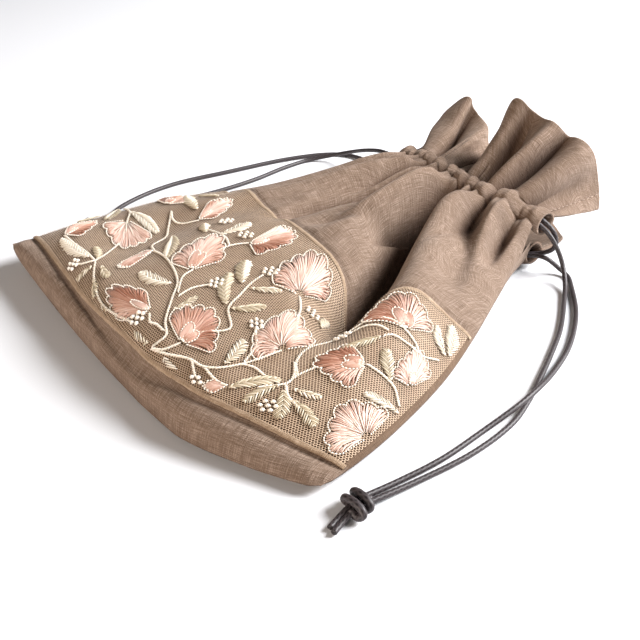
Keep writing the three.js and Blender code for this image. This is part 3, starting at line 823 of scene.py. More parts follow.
def ripples(u, t):
    """Small unevenness of the cloth, and the gathers under the casing."""
    drawn = smoothstep(0.66, 0.95, t)
    close = smoothstep(0.88, 1.0, t)
    wander = u + 0.02 * np.sin(9.0 * t + 5.0 * u) * (1 - close)
    depth = FOLD_DEPTH - RIGHT_FOLDS_LESS * smoothstep(0.2, 0.5, wander)
    folds = depth * drawn * (1 - 0.45 * close) * (pleats(wander, 0.9, MAIN_CREASES) - 0.6)
    gathers = GATHER_DEPTH * close * (pleats(wander, 0.8) - 0.55)
    gathers += FINE_GATHERS * close * np.cos(2 * np.pi * 10.3 * wander + 1.0)
    slack = np.sin(9.0 * u + 5.0 * t) * np.sin(13.0 * t - 3.0 * u) + 0.5 * np.sin(21.0 * u - 9.0 * t)
    hollow = -HOLLOW * bell(u + 0.55, 0.17) * bell(t - 0.3, 0.12)
    return off_sides(u, 0.1) * (folds + gathers + SLACK * slack * (1 - drawn) + puff_end(u, t) + hollow)


def border_roll(u, row):
    """How far the padded border under the lace stands out."""
    share = np.clip(row / (lace_low(u) - BESIDE_SEAM), 0, 1)
    return BORDER_ROLL * np.sin(np.pi * share) * off_sides(u, 0.06)


def casing_side(u):
    """Height at which the bag's front runs into its casing."""
    return casing_middle("front", u)[..., 2] - CASING_HALF_WIDTH * np.sin(CASING_TILT) + CASING_LAP


def front_cloth(u, row):
    """The front with its small folds, led into the casing and grooved beside the lace's two seams."""
    u, row = matched(u, row)
    points = front(u, row).copy()
    into = smoothstep(0.945, 1.004, row)
    points[..., 2] += (casing_side(u) - points[..., 2]) * into
    lower = bell(row - (lace_low(u) - BESIDE_SEAM), GROOVE_WIDTH)
    upper = bell(row - (LACE_HIGH + BESIDE_SEAM), GROOVE_WIDTH)
    points[..., 2] += ripples(u, row) - SEAM_GROOVE * (lower + upper) * off_sides(u, 0.04)
    points += border_roll(u, row)[..., None] * np.array([0.0, -0.7, 0.7])
    return points


def quarter_round(share):
    return np.sqrt(1 - (1 - np.clip(share, 0, 1)) ** 2)


def back_cloth(u, row):
    """The back, flat on the floor and rounded up to its seams."""
    t, x, y = laid_out(u, row)
    flat = quarter_round((1 - np.abs(u)) / 0.14) * quarter_round(t / 0.07)
    waves = BACK_WAVES * flat * (1 + np.sin(7.0 * u + 4.0 * row) * np.sin(11.0 * row - 2.0 * u))
    return np.stack([x, y, seam_height(u, t) * (1 - flat) + waves + BACK_CLEAR], -1)


def columns_across(count):
    """Columns from -1 to 1, closer together near the side seams."""
    share = np.linspace(0, 1, count)
    return 0.5 * (2 * share - 1) - 0.5 * np.cos(np.pi * share)


def linen_sheet(name, points, flip=False, shade=None):
    faces = grid_faces(*points.shape[:2])
    if flip:
        faces = faces[:, ::-1]
    return mesh_piece(name, points, [faces], LINEN, uv=cloth_uv(points), shade=shade)


def front_piece():
    u, row = np.meshgrid(columns_across(281), np.linspace(0, FRONT_ENDS, 221))
    # Painted shadow of the net: 1 on the linen under the lace, 0 elsewhere, carried in the shade attribute
    net_shadow_mask = smoothstep(0, NET_SHADE_FADE, row - lace_low(u))
    net_shadow_mask *= 1 - smoothstep(LACE_HIGH - NET_SHADE_FADE, LACE_HIGH, row)
    piece = linen_sheet("front_linen", front_cloth(u, row), shade=net_shadow_mask)
    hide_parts("front_panel")


def back_piece():
    rows = np.concatenate([np.linspace(0, 0.1, 30), np.linspace(0.11, 1.0, 90)])
    u, row = np.meshgrid(columns_across(161), rows)
    piece = linen_sheet("back_linen", back_cloth(u, row), flip=True)
    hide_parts("back_panel")


# Casings: ruched tubes across the mouth, millimetres

RUCHE_LOW = 2.1
RUCHE_RISE = 3.5
PUFF_WIDENS = 1.4
PUFF_THICKENS = 0.4
CASING_WAVE = 1.8
END_DRAWN_IN = 0.3  # share of its size that the left end loses


def casing_point(side, u, angle, thinner):
    """A ring of ruched cloth, whose creases lean a little round the tube."""
    along = casing_direction(side)
    up = np.array([0.0, -along[2], along[1]])
    puff = pleats(u + 0.02 * np.sin(angle + 0.6))
    puff += 0.12 * np.cos(2 * np.pi * (9.0 * u + 0.3 * np.sin(angle)))
    upper = np.clip(0.5 + np.sin(angle), 0, 1)
    drawn_end = 1 - END_DRAWN_IN * smoothstep(0.9, 1.1, -u)
    pinched = 0.74 + 0.2 * u * u
    half_width = (pinched * CASING_HALF_WIDTH + PUFF_WIDENS * (puff - 0.6)) * drawn_end - thinner
    flat = CASING_HALF_THICKNESS + PUFF_THICKENS * (puff - 0.82)
    ruched = RUCHE_LOW + RUCHE_RISE * puff
    thickness = (flat + (ruched - flat) * upper) * drawn_end - thinner
    if side == "back":
        lower = np.minimum(thickness, CASING_HALF_THICKNESS - thinner)
        thickness = np.where(np.sin(angle) > 0, thickness, lower)
    wave = (CASING_WAVE if side == "front" else 0.0) * (pleats(u, 0.9, MAIN_CREASES) - 0.65)
    middle = casing_middle(side, u) + wave[..., None] * up
    reach = (half_width * np.cos(angle))[..., None] * along
    return middle + reach + (thickness * np.sin(angle))[..., None] * up


def casing_piece(side):
    right_end = CASINGS["at"][-1] - (0.06 if side == "back" else 0.0)
    stations = np.linspace(CASINGS["at"][0], right_end, 401)
    ring = np.linspace(0, 2 * np.pi, 36, endpoint=False)
    u, angle = np.meshgrid(stations, ring, indexing="ij")
    outer = casing_point(side, u, angle, 0.0)
    bore_u, bore_angle = np.meshgrid(stations[::-4], ring, indexing="ij")
    bore = casing_point(side, bore_u, bore_angle, CLOTH_THICKNESS)
    points = np.concatenate([outer, bore])
    faces = grid_faces(len(points), len(ring), wrap_rows=True, wrap_columns=True)
    piece = mesh_piece("casing_" + side + "_ruche", points, [faces], LINEN, uv=cloth_uv(points))
    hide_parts("casing_" + side)


# Frills: each leaves its casing in small gathers and flares out to its free edge

FRONT_FRILL = table("at x y z", [
    (-1.00, -49, 197, 13), (-0.84, -47, 206, 22), (-0.70, -37, 207, 36), (-0.60, -28, 205, 45),
    (-0.48, -21, 205, 41), (-0.35, -15, 203, 34), (-0.20, -8, 199, 28), (-0.05, 0, 196, 25),
    (0.10, 3, 193, 38), (0.22, 12, 189, 58), (0.33, 22, 188, 57), (0.42, 30, 189, 54),
    (0.55, 38, 190, 51), (0.70, 45, 193, 48), (0.80, 50, 196, 42), (0.90, 51, 203, 29), (1.00, 53, 206, 15),
])
BACK_FRILL = table("at x y z", [
    (-1.0, -46, 194, 5), (-0.6, -30, 204, 11), (-0.2, -6, 203, 4),
    (0.2, 13, 203, 9), (0.6, 33, 198, 3.4), (1.0, 46, 189, 4),
])
FLUTES = table("at rise width", [
    (-0.72, 3.0, 0.08), (-0.50, -6.0, 0.09), (-0.33, 3.0, 0.07), (0.34, -8.0, 0.07),
    (0.48, 5.0, 0.06), (0.61, -5.5, 0.055), (0.74, 4.0, 0.07), (0.90, -2.0, 0.06),
])
FRILL_BELLY = np.array([0.0, 3.0, -2.0])
FRILL_STARTS = 0.6  # share of the casing's half width
FRILL_EDGE = 0.995
FLUTE_SCALE = 1.4
FRONT_GATHERS = 3.0
BACK_GATHERS = 1.6
LIMPNESS = 0.5
SIDE_SEAM_DEPTH = 0.3
BACK_FRILL_CLEAR = 0.8  # least height over the floor
SIDE_SEAM = 0.945  # share of a frill's half width inside its stitched side edges


def frill_sheet(side, rows):
    """A frill's plain sheet from inside its casing's seam to its free edge."""
    def point(u, v):
        u, v = matched(u, v)
        start = casing_middle(side, u) + (FRILL_STARTS * CASING_HALF_WIDTH) * casing_direction(side)
        end = np.stack([column(rows, name, u) for name in "xyz"], -1)
        belly = (start + end) / 2 + FRILL_BELLY
        v = v[..., None]
        return start * (1 - v) ** 2 + belly * 2 * v * (1 - v) + end * v * v
    return point


def frill_rise(u, v):
    """How far the front frill's flutes and gathers stand out of its plain sheet."""
    flutes = sum(rise * bell(u - at, width) for at, rise, width in zip(*FLUTES.values()))
    gathers = FRONT_GATHERS * (pleats(u, 0.8) - 0.55) * np.clip(1 - v, 0, 1) ** 1.5
    limp = LIMPNESS * np.sin(11.0 * u + 6.0 * v) * np.sin(8.0 * v + 2.0 * u)
    side_seam = -SIDE_SEAM_DEPTH * bell(np.abs(u) - SIDE_SEAM, 0.006)
    return FLUTE_SCALE * flutes * np.sin(np.pi * (0.1 + 0.76 * v)) + gathers + limp * v + side_seam


def front_frill(u, v):
    plain = frill_sheet("front", FRONT_FRILL)
    u, v = matched(u, v)
    v = v * (1 - 0.12 * np.clip((np.abs(u) - 0.86) / 0.14, 0, 1) ** 2.5)
    return plain(u, v) + frill_rise(u, v)[..., None] * normals(plain, u, v)


def back_frill(u, v):
    plain = frill_sheet("back", BACK_FRILL)
    u, v = matched(u, v)
    gathers = BACK_GATHERS * (pleats(u) - 0.4) * np.clip(1 - v, 0, 1) ** 1.5
    points = plain(u, v) + gathers[..., None] * normals(plain, u, v)
    points[..., 2] = np.maximum(points[..., 2], BACK_FRILL_CLEAR)
    return points


def slab_piece(name, surface, columns, rows):
    """Cloth with its thickness on both sides of a surface, thicker at its side hems."""
    u, v = np.meshgrid(columns, rows)
    middle = surface(u, v)
    fold = 1 + 0.15 * smoothstep(SIDE_SEAM, SIDE_SEAM + 0.01, np.abs(u))
    offset = normals(surface, u, v) * (CLOTH_THICKNESS * fold / 2)[..., None]
    points = np.concatenate([middle + offset, (middle - offset)[::-1]])
    faces = grid_faces(len(points), len(columns), wrap_rows=True)
    count = len(rows)
    sides = []
    index = np.arange(points.shape[0] * points.shape[1]).reshape(points.shape[:2])
    for end, turn in ((0, 1), (-1, -1)):
        near = index[:count, end]
        far = index[count:, end][::-1]
        sides.append(np.stack([near[:-1], near[1:], far[1:], far[:-1]], -1)[:, ::turn])
    return mesh_piece(name, points, [faces, *sides], LINEN, uv=cloth_uv(points))


def frill_piece(side, surface, columns, rows):
    across = np.linspace(-FRILL_EDGE, FRILL_EDGE, columns)
    piece = slab_piece("frill_" + side + "_cloth", surface, across, np.linspace(0, 1, rows))
    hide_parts("frill_" + side)


back_piece()
front_piece()
casing_piece("front")
casing_piece("back")
frill_piece("front", front_frill, 301, 61)
frill_piece("back", back_frill, 141, 31)


# Lace: a net band over the front, with turned hems and embroidery

NET_PITCH = 1.0
NET_RIBBON = 0.18
LACE_LIFT = 0.5
VALLEY_LIFT = 1.3
SEAM_CLEAR = 0.006  # least rows between a stitch and the lower seam, a share of the bag's length


def lace_lift(u, t):
    """How far the net stands off the linen, more where it spans the main valley."""
    return LACE_LIFT + VALLEY_LIFT * bell(u - 0.6, 0.15) * bell(t - 0.45, 0.15)


def on_lace(flat, height):
    """Points above the flat lace's places, and the way up there."""
    u, t = lace_places(flat)
    up = normals(front_cloth, u, t)
    return front_cloth(u, t) + up * (lace_lift(u, t) + height)[..., None], up


def above_seam(flat, clear=0.0):
    """Which points of the flat lace lie above its lower seam."""
    u, t = lace_places(flat)
    return t > lace_low(u) + clear


def net_nodes():
    """Knots of the hexagonal net in the flat, as rows and columns of pairs."""
    side = NET_PITCH / np.sqrt(3)
    rows = int(LACE_TALL / (1.5 * side))
    columns = int(2 * LACE_HALF / NET_PITCH) - 1
    r, c = np.meshgrid(np.arange(rows), np.arange(columns), indexing="ij")
    x = (c + 0.5 * (r % 2) + 0.25) * NET_PITCH - LACE_HALF
    y = r * 1.5 * side + 0.3
    low = np.stack([x, y], -1)
    high = low + (0.0, side)
    return low, high


def net_corners(knots, degrees):
    """The three corners of each knot of the net, in the flat."""
    turns = np.radians(degrees)
    reach = NET_RIBBON / np.sqrt(3)
    corners = reach * np.stack([np.cos(turns), np.sin(turns)], -1)
    return (knots[:, :, None] + corners).reshape(-1, 2)


def net_ribbons(low, high):
    """Four-cornered ribbons between the numbered corners of the net's lower and upper knots."""
    upright = np.stack([low[..., 2], low[..., 1], high[..., 2], high[..., 1]], -1)
    ribbons = [upright.reshape(-1, 4)]
    for row in range(len(low) - 1):
        # Each upper knot joins two lower knots of the next row, half a pitch to either side
        here = high[row]
        above = low[row + 1]
        odd = row % 2
        right_from, right_to = (here[:-1], above[1:]) if odd else (here, above)
        left_from, left_to = (here, above) if odd else (here[1:], above[:-1])
        ribbons.append(np.stack([right_from[:, 2], right_to[:, 0], right_to[:, 2], right_from[:, 0]], -1))
        ribbons.append(np.stack([left_from[:, 0], left_to[:, 1], left_to[:, 0], left_from[:, 1]], -1))
    return np.concatenate(ribbons)


def net_piece():
    """Flat ribbons between small three-cornered knots, all joined and cut off along the lower seam."""
    low, high = net_nodes()
    flat = np.concatenate([net_corners(low, [-90, 30, 150]), net_corners(high, [90, 210, 330])])
    count = len(flat) // 2
    low_index = np.arange(count).reshape(*low.shape[:2], 3)
    high_index = low_index + count
    knots = np.concatenate([low_index.reshape(-1, 3), high_index.reshape(-1, 3)])
    inside = above_seam(flat)
    faces = [part[inside[part].all(1)] for part in (net_ribbons(low_index, high_index), knots)]
    number = np.cumsum(inside) - 1
    points, _ = on_lace(flat[inside], np.zeros(inside.sum()))
    piece = mesh_piece("lace_net", points, [number[part] for part in faces], NET, uv=flat[inside])
    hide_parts("lace_panel")
    return piece


# Hems along the lace's two long edges

HEM_WIDTH = 1.9
HEM_HEIGHT = 0.5
HEM_CLEAR = 0.15
HEM_SWELL = 5.3  # millimetres between its slight swellings
HEM_STEPS = 900
HEM_SIDES = 9


def hem_grid(edge):
    """A low roll along the lace's lower (0) or upper (-1) edge, as a grid of points."""
    share = np.linspace(0, 1, HEM_STEPS)
    u = np.interp(share, np.linspace(0, 1, LACE_U.shape[1]), LACE_U[edge])
    row = lace_low(u) if edge == 0 else np.full_like(u, LACE_HIGH)
    middle = front_cloth(u, row)
    up = normals(front_cloth, u, row)
    side = unit(np.cross(up, np.gradient(middle, axis=0)))
    ring = np.linspace(0, np.pi, HEM_SIDES)[:, None]
    along = travelled(middle) * 2 * LACE_HALF
    swell = 1 + 0.05 * np.sin(2 * np.pi * (along / HEM_SWELL + 0.3 * np.cos(ring)))
    reach = HEM_WIDTH / 2 * swell * np.cos(ring)
    rise = HEM_CLEAR + HEM_HEIGHT * swell * np.sin(ring) ** 0.7
    return middle + reach[..., None] * side + rise[..., None] * up


def hem_piece():
    grids = [hem_grid(edge) for edge in (0, -1)]
    one = grid_faces(HEM_SIDES, HEM_STEPS)[:, ::-1]
    faces = [one, one + HEM_SIDES * HEM_STEPS]
    uv = np.concatenate([cloth_uv(grid) for grid in grids])
    return mesh_piece("lace_hems", np.concatenate(grids), faces, HEM, uv=uv)


# Embroidery: every stitch is a short strand of thread over the net

STITCH_SIDES = 5
SIDE_MARGIN = 0.8  # millimetres of the flat lace left free of stitches
SEAM_MARGIN = 0.6


class Stitches:
    """Stitches gathered for one piece: places in the flat, heights, thickness and shade."""

    def __init__(self, name, material, steps):
        self.name = name
        self.material = material
        self.steps = steps
        self.rows = []

    def add(self, flat, height, radius, shade):
        """One stitch along points of the flat, evenly stepped."""
        share = np.linspace(0, 1, self.steps)
        whole = travelled(flat) if len(flat) > 2 else np.linspace(0, 1, len(flat))
        x = np.interp(share, whole, flat[:, 0])
        y = np.interp(share, whole, flat[:, 1])
        within_sides = np.abs(x).max() < LACE_HALF - SIDE_MARGIN
        if within_sides and y.min() > SEAM_MARGIN and y.max() < LACE_TALL - SEAM_MARGIN:
            self.rows.append((np.stack([x, y], -1), np.interp(share, [0, 0.5, 1], height), radius, shade))

    def piece(self):
        flat, height, radius, shade = (np.array(values) for values in zip(*self.rows))
        inside = above_seam(flat, SEAM_CLEAR).all(1)
        points, ups = on_lace(flat[inside], height[inside])
        taper = np.ones(self.steps)
        taper[[0, -1]] = 0.55
        tube, faces = strands(points, ups, radius[inside, None] * taper, STITCH_SIDES)
        shades = np.repeat(shade[inside], self.steps * STITCH_SIDES)
        return mesh_piece(self.name, tube, faces, self.material, shade=shades)


petals = Stitches("embroidered_petals", PETAL_THREAD, steps=5)
outlines = Stitches("embroidered_outlines", IVORY_THREAD, steps=4)
leaves = Stitches("embroidered_leaves", LEAF_THREAD, steps=4)
stems = Stitches("embroidered_stems", IVORY_THREAD, steps=4)

THREAD = 0.25
LOBES = 7
LINE_STEP = 0.16  # spacing of the points that a row of stitches follows
LEAF_PITCH = 1.15
BERRY_KNOT = 1.4
BERRY_RADIUS = 2.3
STAMEN_SPREAD = 48  # degrees to either side


def jitter(reach):
    return RANDOM.uniform(-reach, reach)


def flat_line(points):
    points = np.asarray(points, float)
    return curve_through(points, LINE_STEP) if len(points) > 2 else evenly(points, LINE_STEP)


def stem_stitch(line, stitches, length, step, radius, shade, height, lean):
    """Overlapping slanted stitches along a line that is finely and evenly stepped."""
    tangent = unit(np.gradient(line, axis=0))
    side = np.stack([-tangent[:, 1], tangent[:, 0]], -1)
    spacing = np.linalg.norm(line[1] - line[0])
    span = max(int(length / spacing), 2)
    for count, i in enumerate(range(0, len(line) - 2, max(int(round(step / spacing)), 1))):
        end = min(i + span, len(line) - 1)
        slant = np.linspace(-lean, lean, end - i + 1)[:, None]
        # Every other stitch is painted lighter or darker: painted light and shade that part one stitch from
        # the next
        tone = shade + (0.25, -0.25)[count % 2] + jitter(0.1)
        places = line[i:end + 1] + slant * side[i:end + 1]
        stitches.add(places, (0.5 * height, height, 0.5 * height), radius, tone)


def beaded(line, height):
    """Short separate couching stitches round a petal."""
    stem_stitch(line, outlines, length=0.85, step=1.1, radius=0.27, shade=0.75, height=height, lean=0.14)


def rim(turn, spread):
    """How far a flower's scalloped edge lies from its base, in that direction."""
    share = (turn / spread + 0.5) * LOBES
    scallop = (np.abs(np.sin(np.pi * share)) + 0.02) ** 0.6
    uneven = 1 + 0.05 * np.sin(5.0 * turn + 0.8)
    return (0.87 + 0.13 * scallop) * (1 - 0.22 * (2 * turn / spread) ** 2) * uneven


def petal_place(flower, turn, reach):
    """A place in a flower, from its own fan to the flat lace."""
    base, along, across = flower
    turn, reach = np.asarray(turn, float), np.asarray(reach, float)
    return base + (reach * np.cos(turn))[..., None] * along + (reach * np.sin(turn))[..., None] * across


def satin_fan(flower, spread, shades, inner):
    """Long and short stitches from a flower's middle to its edge, in two layers."""
    _, along, across = flower
    size = (np.linalg.norm(along) + np.linalg.norm(across)) / 2
    count = int(size * spread / (2.3 * THREAD))
    tones = np.interp(np.linspace(0, 1, count), np.linspace(0, 1, len(shades)), shades)
    for i, turn in enumerate(np.linspace(-spread / 2, spread / 2, count)):
        far = rim(turn, spread) - 0.02 - RANDOM.uniform(0, 0.05)
        near = inner + (0.0, 0.3, 0.14, 0.42)[i % 4] + RANDOM.uniform(0, 0.08)
        reach = np.linspace(near, far, 5)
        bent = turn * np.linspace(0.86, 1.0, 5) + jitter(0.02)
        tone = tones[i] + jitter(0.24)
        radius = THREAD * RANDOM.uniform(0.9, 1.25)
        low = 0.18 + 0.14 * (i % 2)
        petals.add(petal_place(flower, bent, reach), (low, low + 0.26, low), radius, tone)


def fan_edge(flower, spread):
    turn = np.linspace(-spread / 2, spread / 2, 120)
    edge = petal_place(flower, turn, rim(turn, spread))
    left = petal_place(flower, np.full(8, -spread / 2), np.linspace(0.1, 0.6, 8))
    right = petal_place(flower, np.full(8, spread / 2), np.linspace(0.6, 0.1, 8))
    return evenly(np.concatenate([left, edge, right]), LINE_STEP)


def inner_petal(flower, turn, size, shade):
    """A small outlined petal over the fan's base."""
    base, along, across = flower
    ahead = np.cos(turn) * along + np.sin(turn) * across
    cross = 0.7 * (np.cos(turn) * across - np.sin(turn) * along)
    start = base + 0.04 * along
    for x in np.linspace(-0.36, 0.36, 11):
        tall = 0.1 + 0.8 * np.sqrt(max(0.05, 1 - (x / 0.42) ** 2))
        forward = np.linspace(0.08, tall, 5)[:, None] * size * ahead
        aside = x * np.sin(np.linspace(0.5, 2.0, 5))[:, None] * size * cross
        petals.add(start + forward + aside, (0.5, 0.8, 0.5), THREAD, shade + jitter(0.15))
    turns = np.linspace(0, 2 * np.pi, 50)
    forward = (0.48 - 0.46 * np.cos(turns))[:, None] * ahead
    aside = (0.42 * np.sin(turns))[:, None] * cross
    loop = start + size * (forward + aside)
    beaded(evenly(loop, LINE_STEP), 0.75)


def flower_motif(base, along, wide, shades, spread, inner_petals, stamens):
    flower = (np.array(base, float), np.array(along, float), np.array(wide, float) / 1.24)
    satin_fan(flower, spread, shades, 0.12)
    beaded(fan_edge(flower, spread), 0.5)
    for turn, size, shade in inner_petals:
        inner_petal(flower, turn, size, shade)
    for k, turn in enumerate(np.radians(np.linspace(-STAMEN_SPREAD, STAMEN_SPREAD, stamens))):
        tip = petal_place(flower, turn, 0.46 + 0.1 * (k % 2))
        stalk = np.array([petal_place(flower, turn * 0.5, 0.12), tip])
        outlines.add(stalk, (0.55, 0.8, 0.7), 0.14, 0.7)
        french_knot(tip, 0.6)


def french_knot(place, size):
    """A wound knot of three short crossing turns."""
    for turn in (0.5, 1.55, 2.6):
        reach = 0.5 * size * np.array([np.cos(turn), np.sin(turn)])
        tone = 0.6 + RANDOM.uniform(-0.15, 0.25)
        outlines.add(np.array([place - reach, place + reach]), (0.3, 0.8 * size, 0.3), 0.3 * size, tone)


def leaf_motif(base, tip, shade, second, lean):
    """Separate slanted stitches either side of a bent vein."""
    base, tip = np.array(base, float), np.array(tip, float)
    along = tip - base
    length = np.linalg.norm(along)
    square = np.array([-along[1], along[0]]) / length
    half = np.clip(0.17 * length, 1.7, 2.9)
    bow = lean * 0.1 * length
    count = max(int(length / LEAF_PITCH), 7)

    def vein(share):
        return base + share * along + bow * np.sin(np.pi * share) * square

    for i, share in enumerate(np.linspace(0.04, 0.93, count)):
        for side in (-1, 1):
            reach = half * 2.45 * share ** 0.55 * (1 - share) ** 0.8 * RANDOM.uniform(0.85, 1.15)
            start = vein(share) - 0.25 * side * min(reach, 1.0) * square
            end = vein(min(share + 1.5 * reach / length, 1.02)) + side * reach * square
            # Each half's own shade is its thread colour; every other stitch is also painted lighter or
            # darker, painted light and shade between the stitches
            tone = (shade if side < 0 else second) + (0.22, -0.22)[i % 2] + jitter(0.12)
            rise = (0.15, 0.0)[i % 2]
            radius = THREAD * RANDOM.uniform(1.0, 1.25)
            leaves.add(np.array([start, end]), (0.35 + rise, 0.5 + rise, 0.15), radius, tone)


def berry_motif(x, y):
    """A ring of knots round one."""
    place = np.array([x, y], float)
    french_knot(place, BERRY_KNOT)
    for turn in np.arange(6) * np.pi / 3 + 0.4:
        french_knot(place + BERRY_RADIUS * np.array([np.cos(turn), np.sin(turn)]), BERRY_KNOT)


# Chart of the embroidery, millimetres across and up the flat lace
# Flowers: base, way to the tip, width, shades of the lobes (0 brick to 1 pale), spread in degrees, form
FLOWERS = [
    ((-6, 41), (-20, 18), (10, 13), (0.7, 0.9, 0.8, 0.45, 0.3), 150, "open"),
    ((25, 17), (-5, 18), (21, -2), (0.55, 0.4, 0.25, 0.2, 0.3), 150, "open"),
    ((53, 37), (-16, 20), (6, 16), (0.7, 0.75, 0.8, 0.7, 0.65), 190, "stamens"),
    ((28, 66), (-29, 18), (4, 16), (0.75, 0.85, 0.85, 0.75, 0.6), 150, "stamens"),
    ((-12, 67), (-1, 18), (20, -17), (0.85, 0.8, 0.5, 0.15, 0.1), 120, "side"),
    ((3, 19), (-25, -8), (-5, 11), (0.7, 0.55, 0.2, 0.1, 0.15), 130, "side"),
    ((-33, 36), (-1, -16), (-9, 9), (0.15, 0.3, 0.55, 0.75, 0.75), 110, "side"),
    ((-70, 37), (20, -9), (-17, -13), (0.75, 0.85, 0.85, 0.75, 0.7), 140, "stamens"),
    ((-79, 9), (-2, 16), (16, 0), (0.75, 0.75, 0.45, 0.15, 0.15), 130, "side"),
    ((-72, 57), (-12, 10), (14, 6), (0.25, 0.2, 0.35, 0.65, 0.75), 140, "open"),
    ((-49, 62), (-8, 18), (13, -3), (0.3, 0.75, 0.85, 0.75, 0.3), 120, "side"),
    ((79, 66), (-11, 18), (17, 9), (0.1, 0.15, 0.5, 0.8, 0.85), 150, "open"),
    ((78, 42), (-12, -8), (-11, 16), (0.65, 0.55, 0.2, 0.1, 0.15), 140, "open"),
    ((97, 15), (-14, 4), (0, 21), (0.9, 0.85, 0.9, 0.9, 0.85), 170, "stamens"),
    ((94, 46), (-8, 16), (8, 10), (0.8, 0.85, 0.85, 0.8, 0.8), 140, "side"),
    ((51, 10), (-6, -4), (-4, 6), (0.5, 0.7, 0.85, 0.7, 0.5), 90, "bud"),
]
# Leaves: base, tip, shade of each half (0 sage to 1 ivory), bend
LEAVES = [
    ((-4, 32), (-21, 25), 0.95, 0.85, 0.6), ((-42, 48), (-21, 37), 0.7, 0.35, 0.5),
    ((9, 25), (10, 35), 0.6, 0.3, -0.5), ((22, 40), (5, 51), 0.25, 0.4, 0.6),
    ((15, 51), (0, 60), 0.75, 0.35, 0.4), ((19, 52), (25, 61), 0.7, 0.4, -0.4),
    ((24, 40), (31, 51), 0.3, 0.2, -0.5), ((42, 68), (34, 77), 0.7, 0.4, 0.5),
    ((44, 18), (40, 33), 0.5, 0.8, -0.5), ((24, 10), (37, 3), 0.95, 0.9, -0.5),
    ((52, 9), (62, 22), 0.35, 0.25, 0.5), ((64, 19), (60, 6), 0.3, 0.45, -0.4),
    ((66, 17), (73, 5), 0.25, 0.4, 0.4), ((71, 14), (83, 8), 0.35, 0.25, 0.5),
    ((68, 19), (77, 20), 0.75, 0.45, -0.5), ((75, 57), (68, 46), 0.2, 0.35, 0.5),
    ((88, 42), (79, 53), 0.6, 0.35, 0.4), ((98, 32), (85, 31), 0.95, 0.9, -0.4),
    ((96, 70), (87, 80), 0.95, 0.85, 0.5), ((97, 71), (92, 87), 0.9, 0.95, -0.4),
    ((-56, 65), (-81, 69), 0.6, 0.35, 0.4), ((-62, 77), (-75, 73), 0.65, 0.3, -0.4),
    ((-49, 12), (-78, 7), 0.95, 0.9, 0.4), ((-45, 14), (-57, 17), 0.3, 0.25, -0.4),
    ((-42, 11), (-43, 3), 0.3, 0.4, 0.4), ((-39, 14), (-29, 14), 0.25, 0.35, -0.4),
    ((-34, 9), (-26, 6), 0.3, 0.25, 0.4), ((-78, 41), (-52, 45), 0.95, 0.9, 0.3),
    ((-92, 40), (-78, 30), 0.5, 0.35, 0.4), ((-24, 61), (-31, 76), 0.95, 0.85, -0.5),
    ((15, 11), (1, 8), 0.6, 0.35, 0.4), ((-30, 58), (-42, 62), 0.5, 0.3, 0.4),
    ((-14, 8), (-22, 4), 0.35, 0.5, 0.4), ((-88, 30), (-94, 20), 0.6, 0.4, 0.3),
]
BERRIES = [
    (8, 44), (12, 63), (-19, 69), (37, 42), (36, 67), (2, 14), (-52, 5), (67, 8),
    (41, 6), (62, 57), (-37, 69),
]
# Stems: places that each passes
STEMS = [
    [(17, 10), (22, 12), (25, 17)],
    [(16, 17), (11, 17), (8, 16), (4, 18)],
    [(17, 10), (18, 16), (12, 20), (3, 28), (-4, 34), (-20, 37), (-33, 36)],
    [(-33, 36), (-41, 38), (-44, 45), (-53, 50), (-64, 56)],
    [(-64, 56), (-57, 54), (-51, 56), (-48, 62)],
    [(2, 31), (-5, 37), (-6, 42)],
    [(4, 30), (4, 36), (7, 42)],
    [(-8, 44), (-13, 59), (-13, 63), (-12, 67)],
    [(-13, 60), (-22, 62), (-32, 60)],
    [(25, 24), (32, 33), (23, 40), (20, 47), (16, 54), (13, 60)],
    [(48, 23), (45, 34), (39, 40)],
    [(17, 10), (24, 11), (33, 13), (39, 13), (44, 16), (48, 22), (50, 27), (53, 37)],
    [(48, 22), (52, 23), (57, 21)],
    [(34, 13), (40, 8)],
    [(40, 13), (48, 10), (51, 10)],
    [(60, 33), (64, 26), (65, 21), (62, 17), (59, 14)],
    [(65, 20), (69, 15), (75, 12)],
    [(65, 20), (65, 26), (67, 33)],
    [(65, 26), (60, 34), (58, 44), (60, 56), (66, 65), (72, 67), (79, 66)],
    [(28, 66), (37, 61), (42, 57), (47, 52)],
    [(64, 58), (67, 61), (71, 62), (75, 61)],
    [(75, 57), (77, 60), (82, 61), (88, 62)],
    [(79, 66), (85, 64), (89, 62), (95, 66)],
    [(78, 42), (85, 42), (90, 41), (96, 35)],
    [(-45, 13), (-47, 17), (-51, 22), (-58, 30), (-70, 37)],
    [(-45, 13), (-48, 8), (-51, 6)],
    [(-45, 13), (-34, 9), (-20, 7), (2, 12)],
    [(-70, 37), (-78, 41), (-90, 42)],
    [(-79, 9), (-68, 10), (-56, 12), (-45, 13)],
]
FORMS = {
    "open": (((-0.3, 0.5, 0.6), (0.42, 0.44, 0.35)), 0),
    "stamens": ((), 5),
    "side": (((0.1, 0.42, 0.75),), 0),
    "bud": ((), 0),
}


def embroider():
    for base, along, wide, shades, spread, form in FLOWERS:
        inner_petals, stamens = FORMS[form]
        flower_motif(base, along, wide, shades, np.radians(spread), inner_petals, stamens)
    for base, tip, shade, second, bend in LEAVES:
        leaf_motif(base, tip, shade, second, bend)
    for x, y in BERRIES:
        berry_motif(x, y)
    for places in STEMS:
        line = flat_line(places)
        stem_stitch(line, stems, length=1.9, step=1.15, radius=0.265, shade=0.5, height=0.45, lean=0.45)
    return [stitches.piece() for stitches in (petals, outlines, leaves, stems)]


net = net_piece()
hems = hem_piece()
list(embroider())


# Sewing stitches on the linen

SEWN_LENGTH = 1.9
SEWN_GAP = 0.7
SEWN_RADIUS = 0.2
SEWN_OVER = 0.6  # heights over a frill's middle surface
SEWN_UNDER = -0.8
SEWN_STEPS = 5
SEWN_TAPER = np.array([0.6, 1.0, 1.0, 1.0, 0.6])


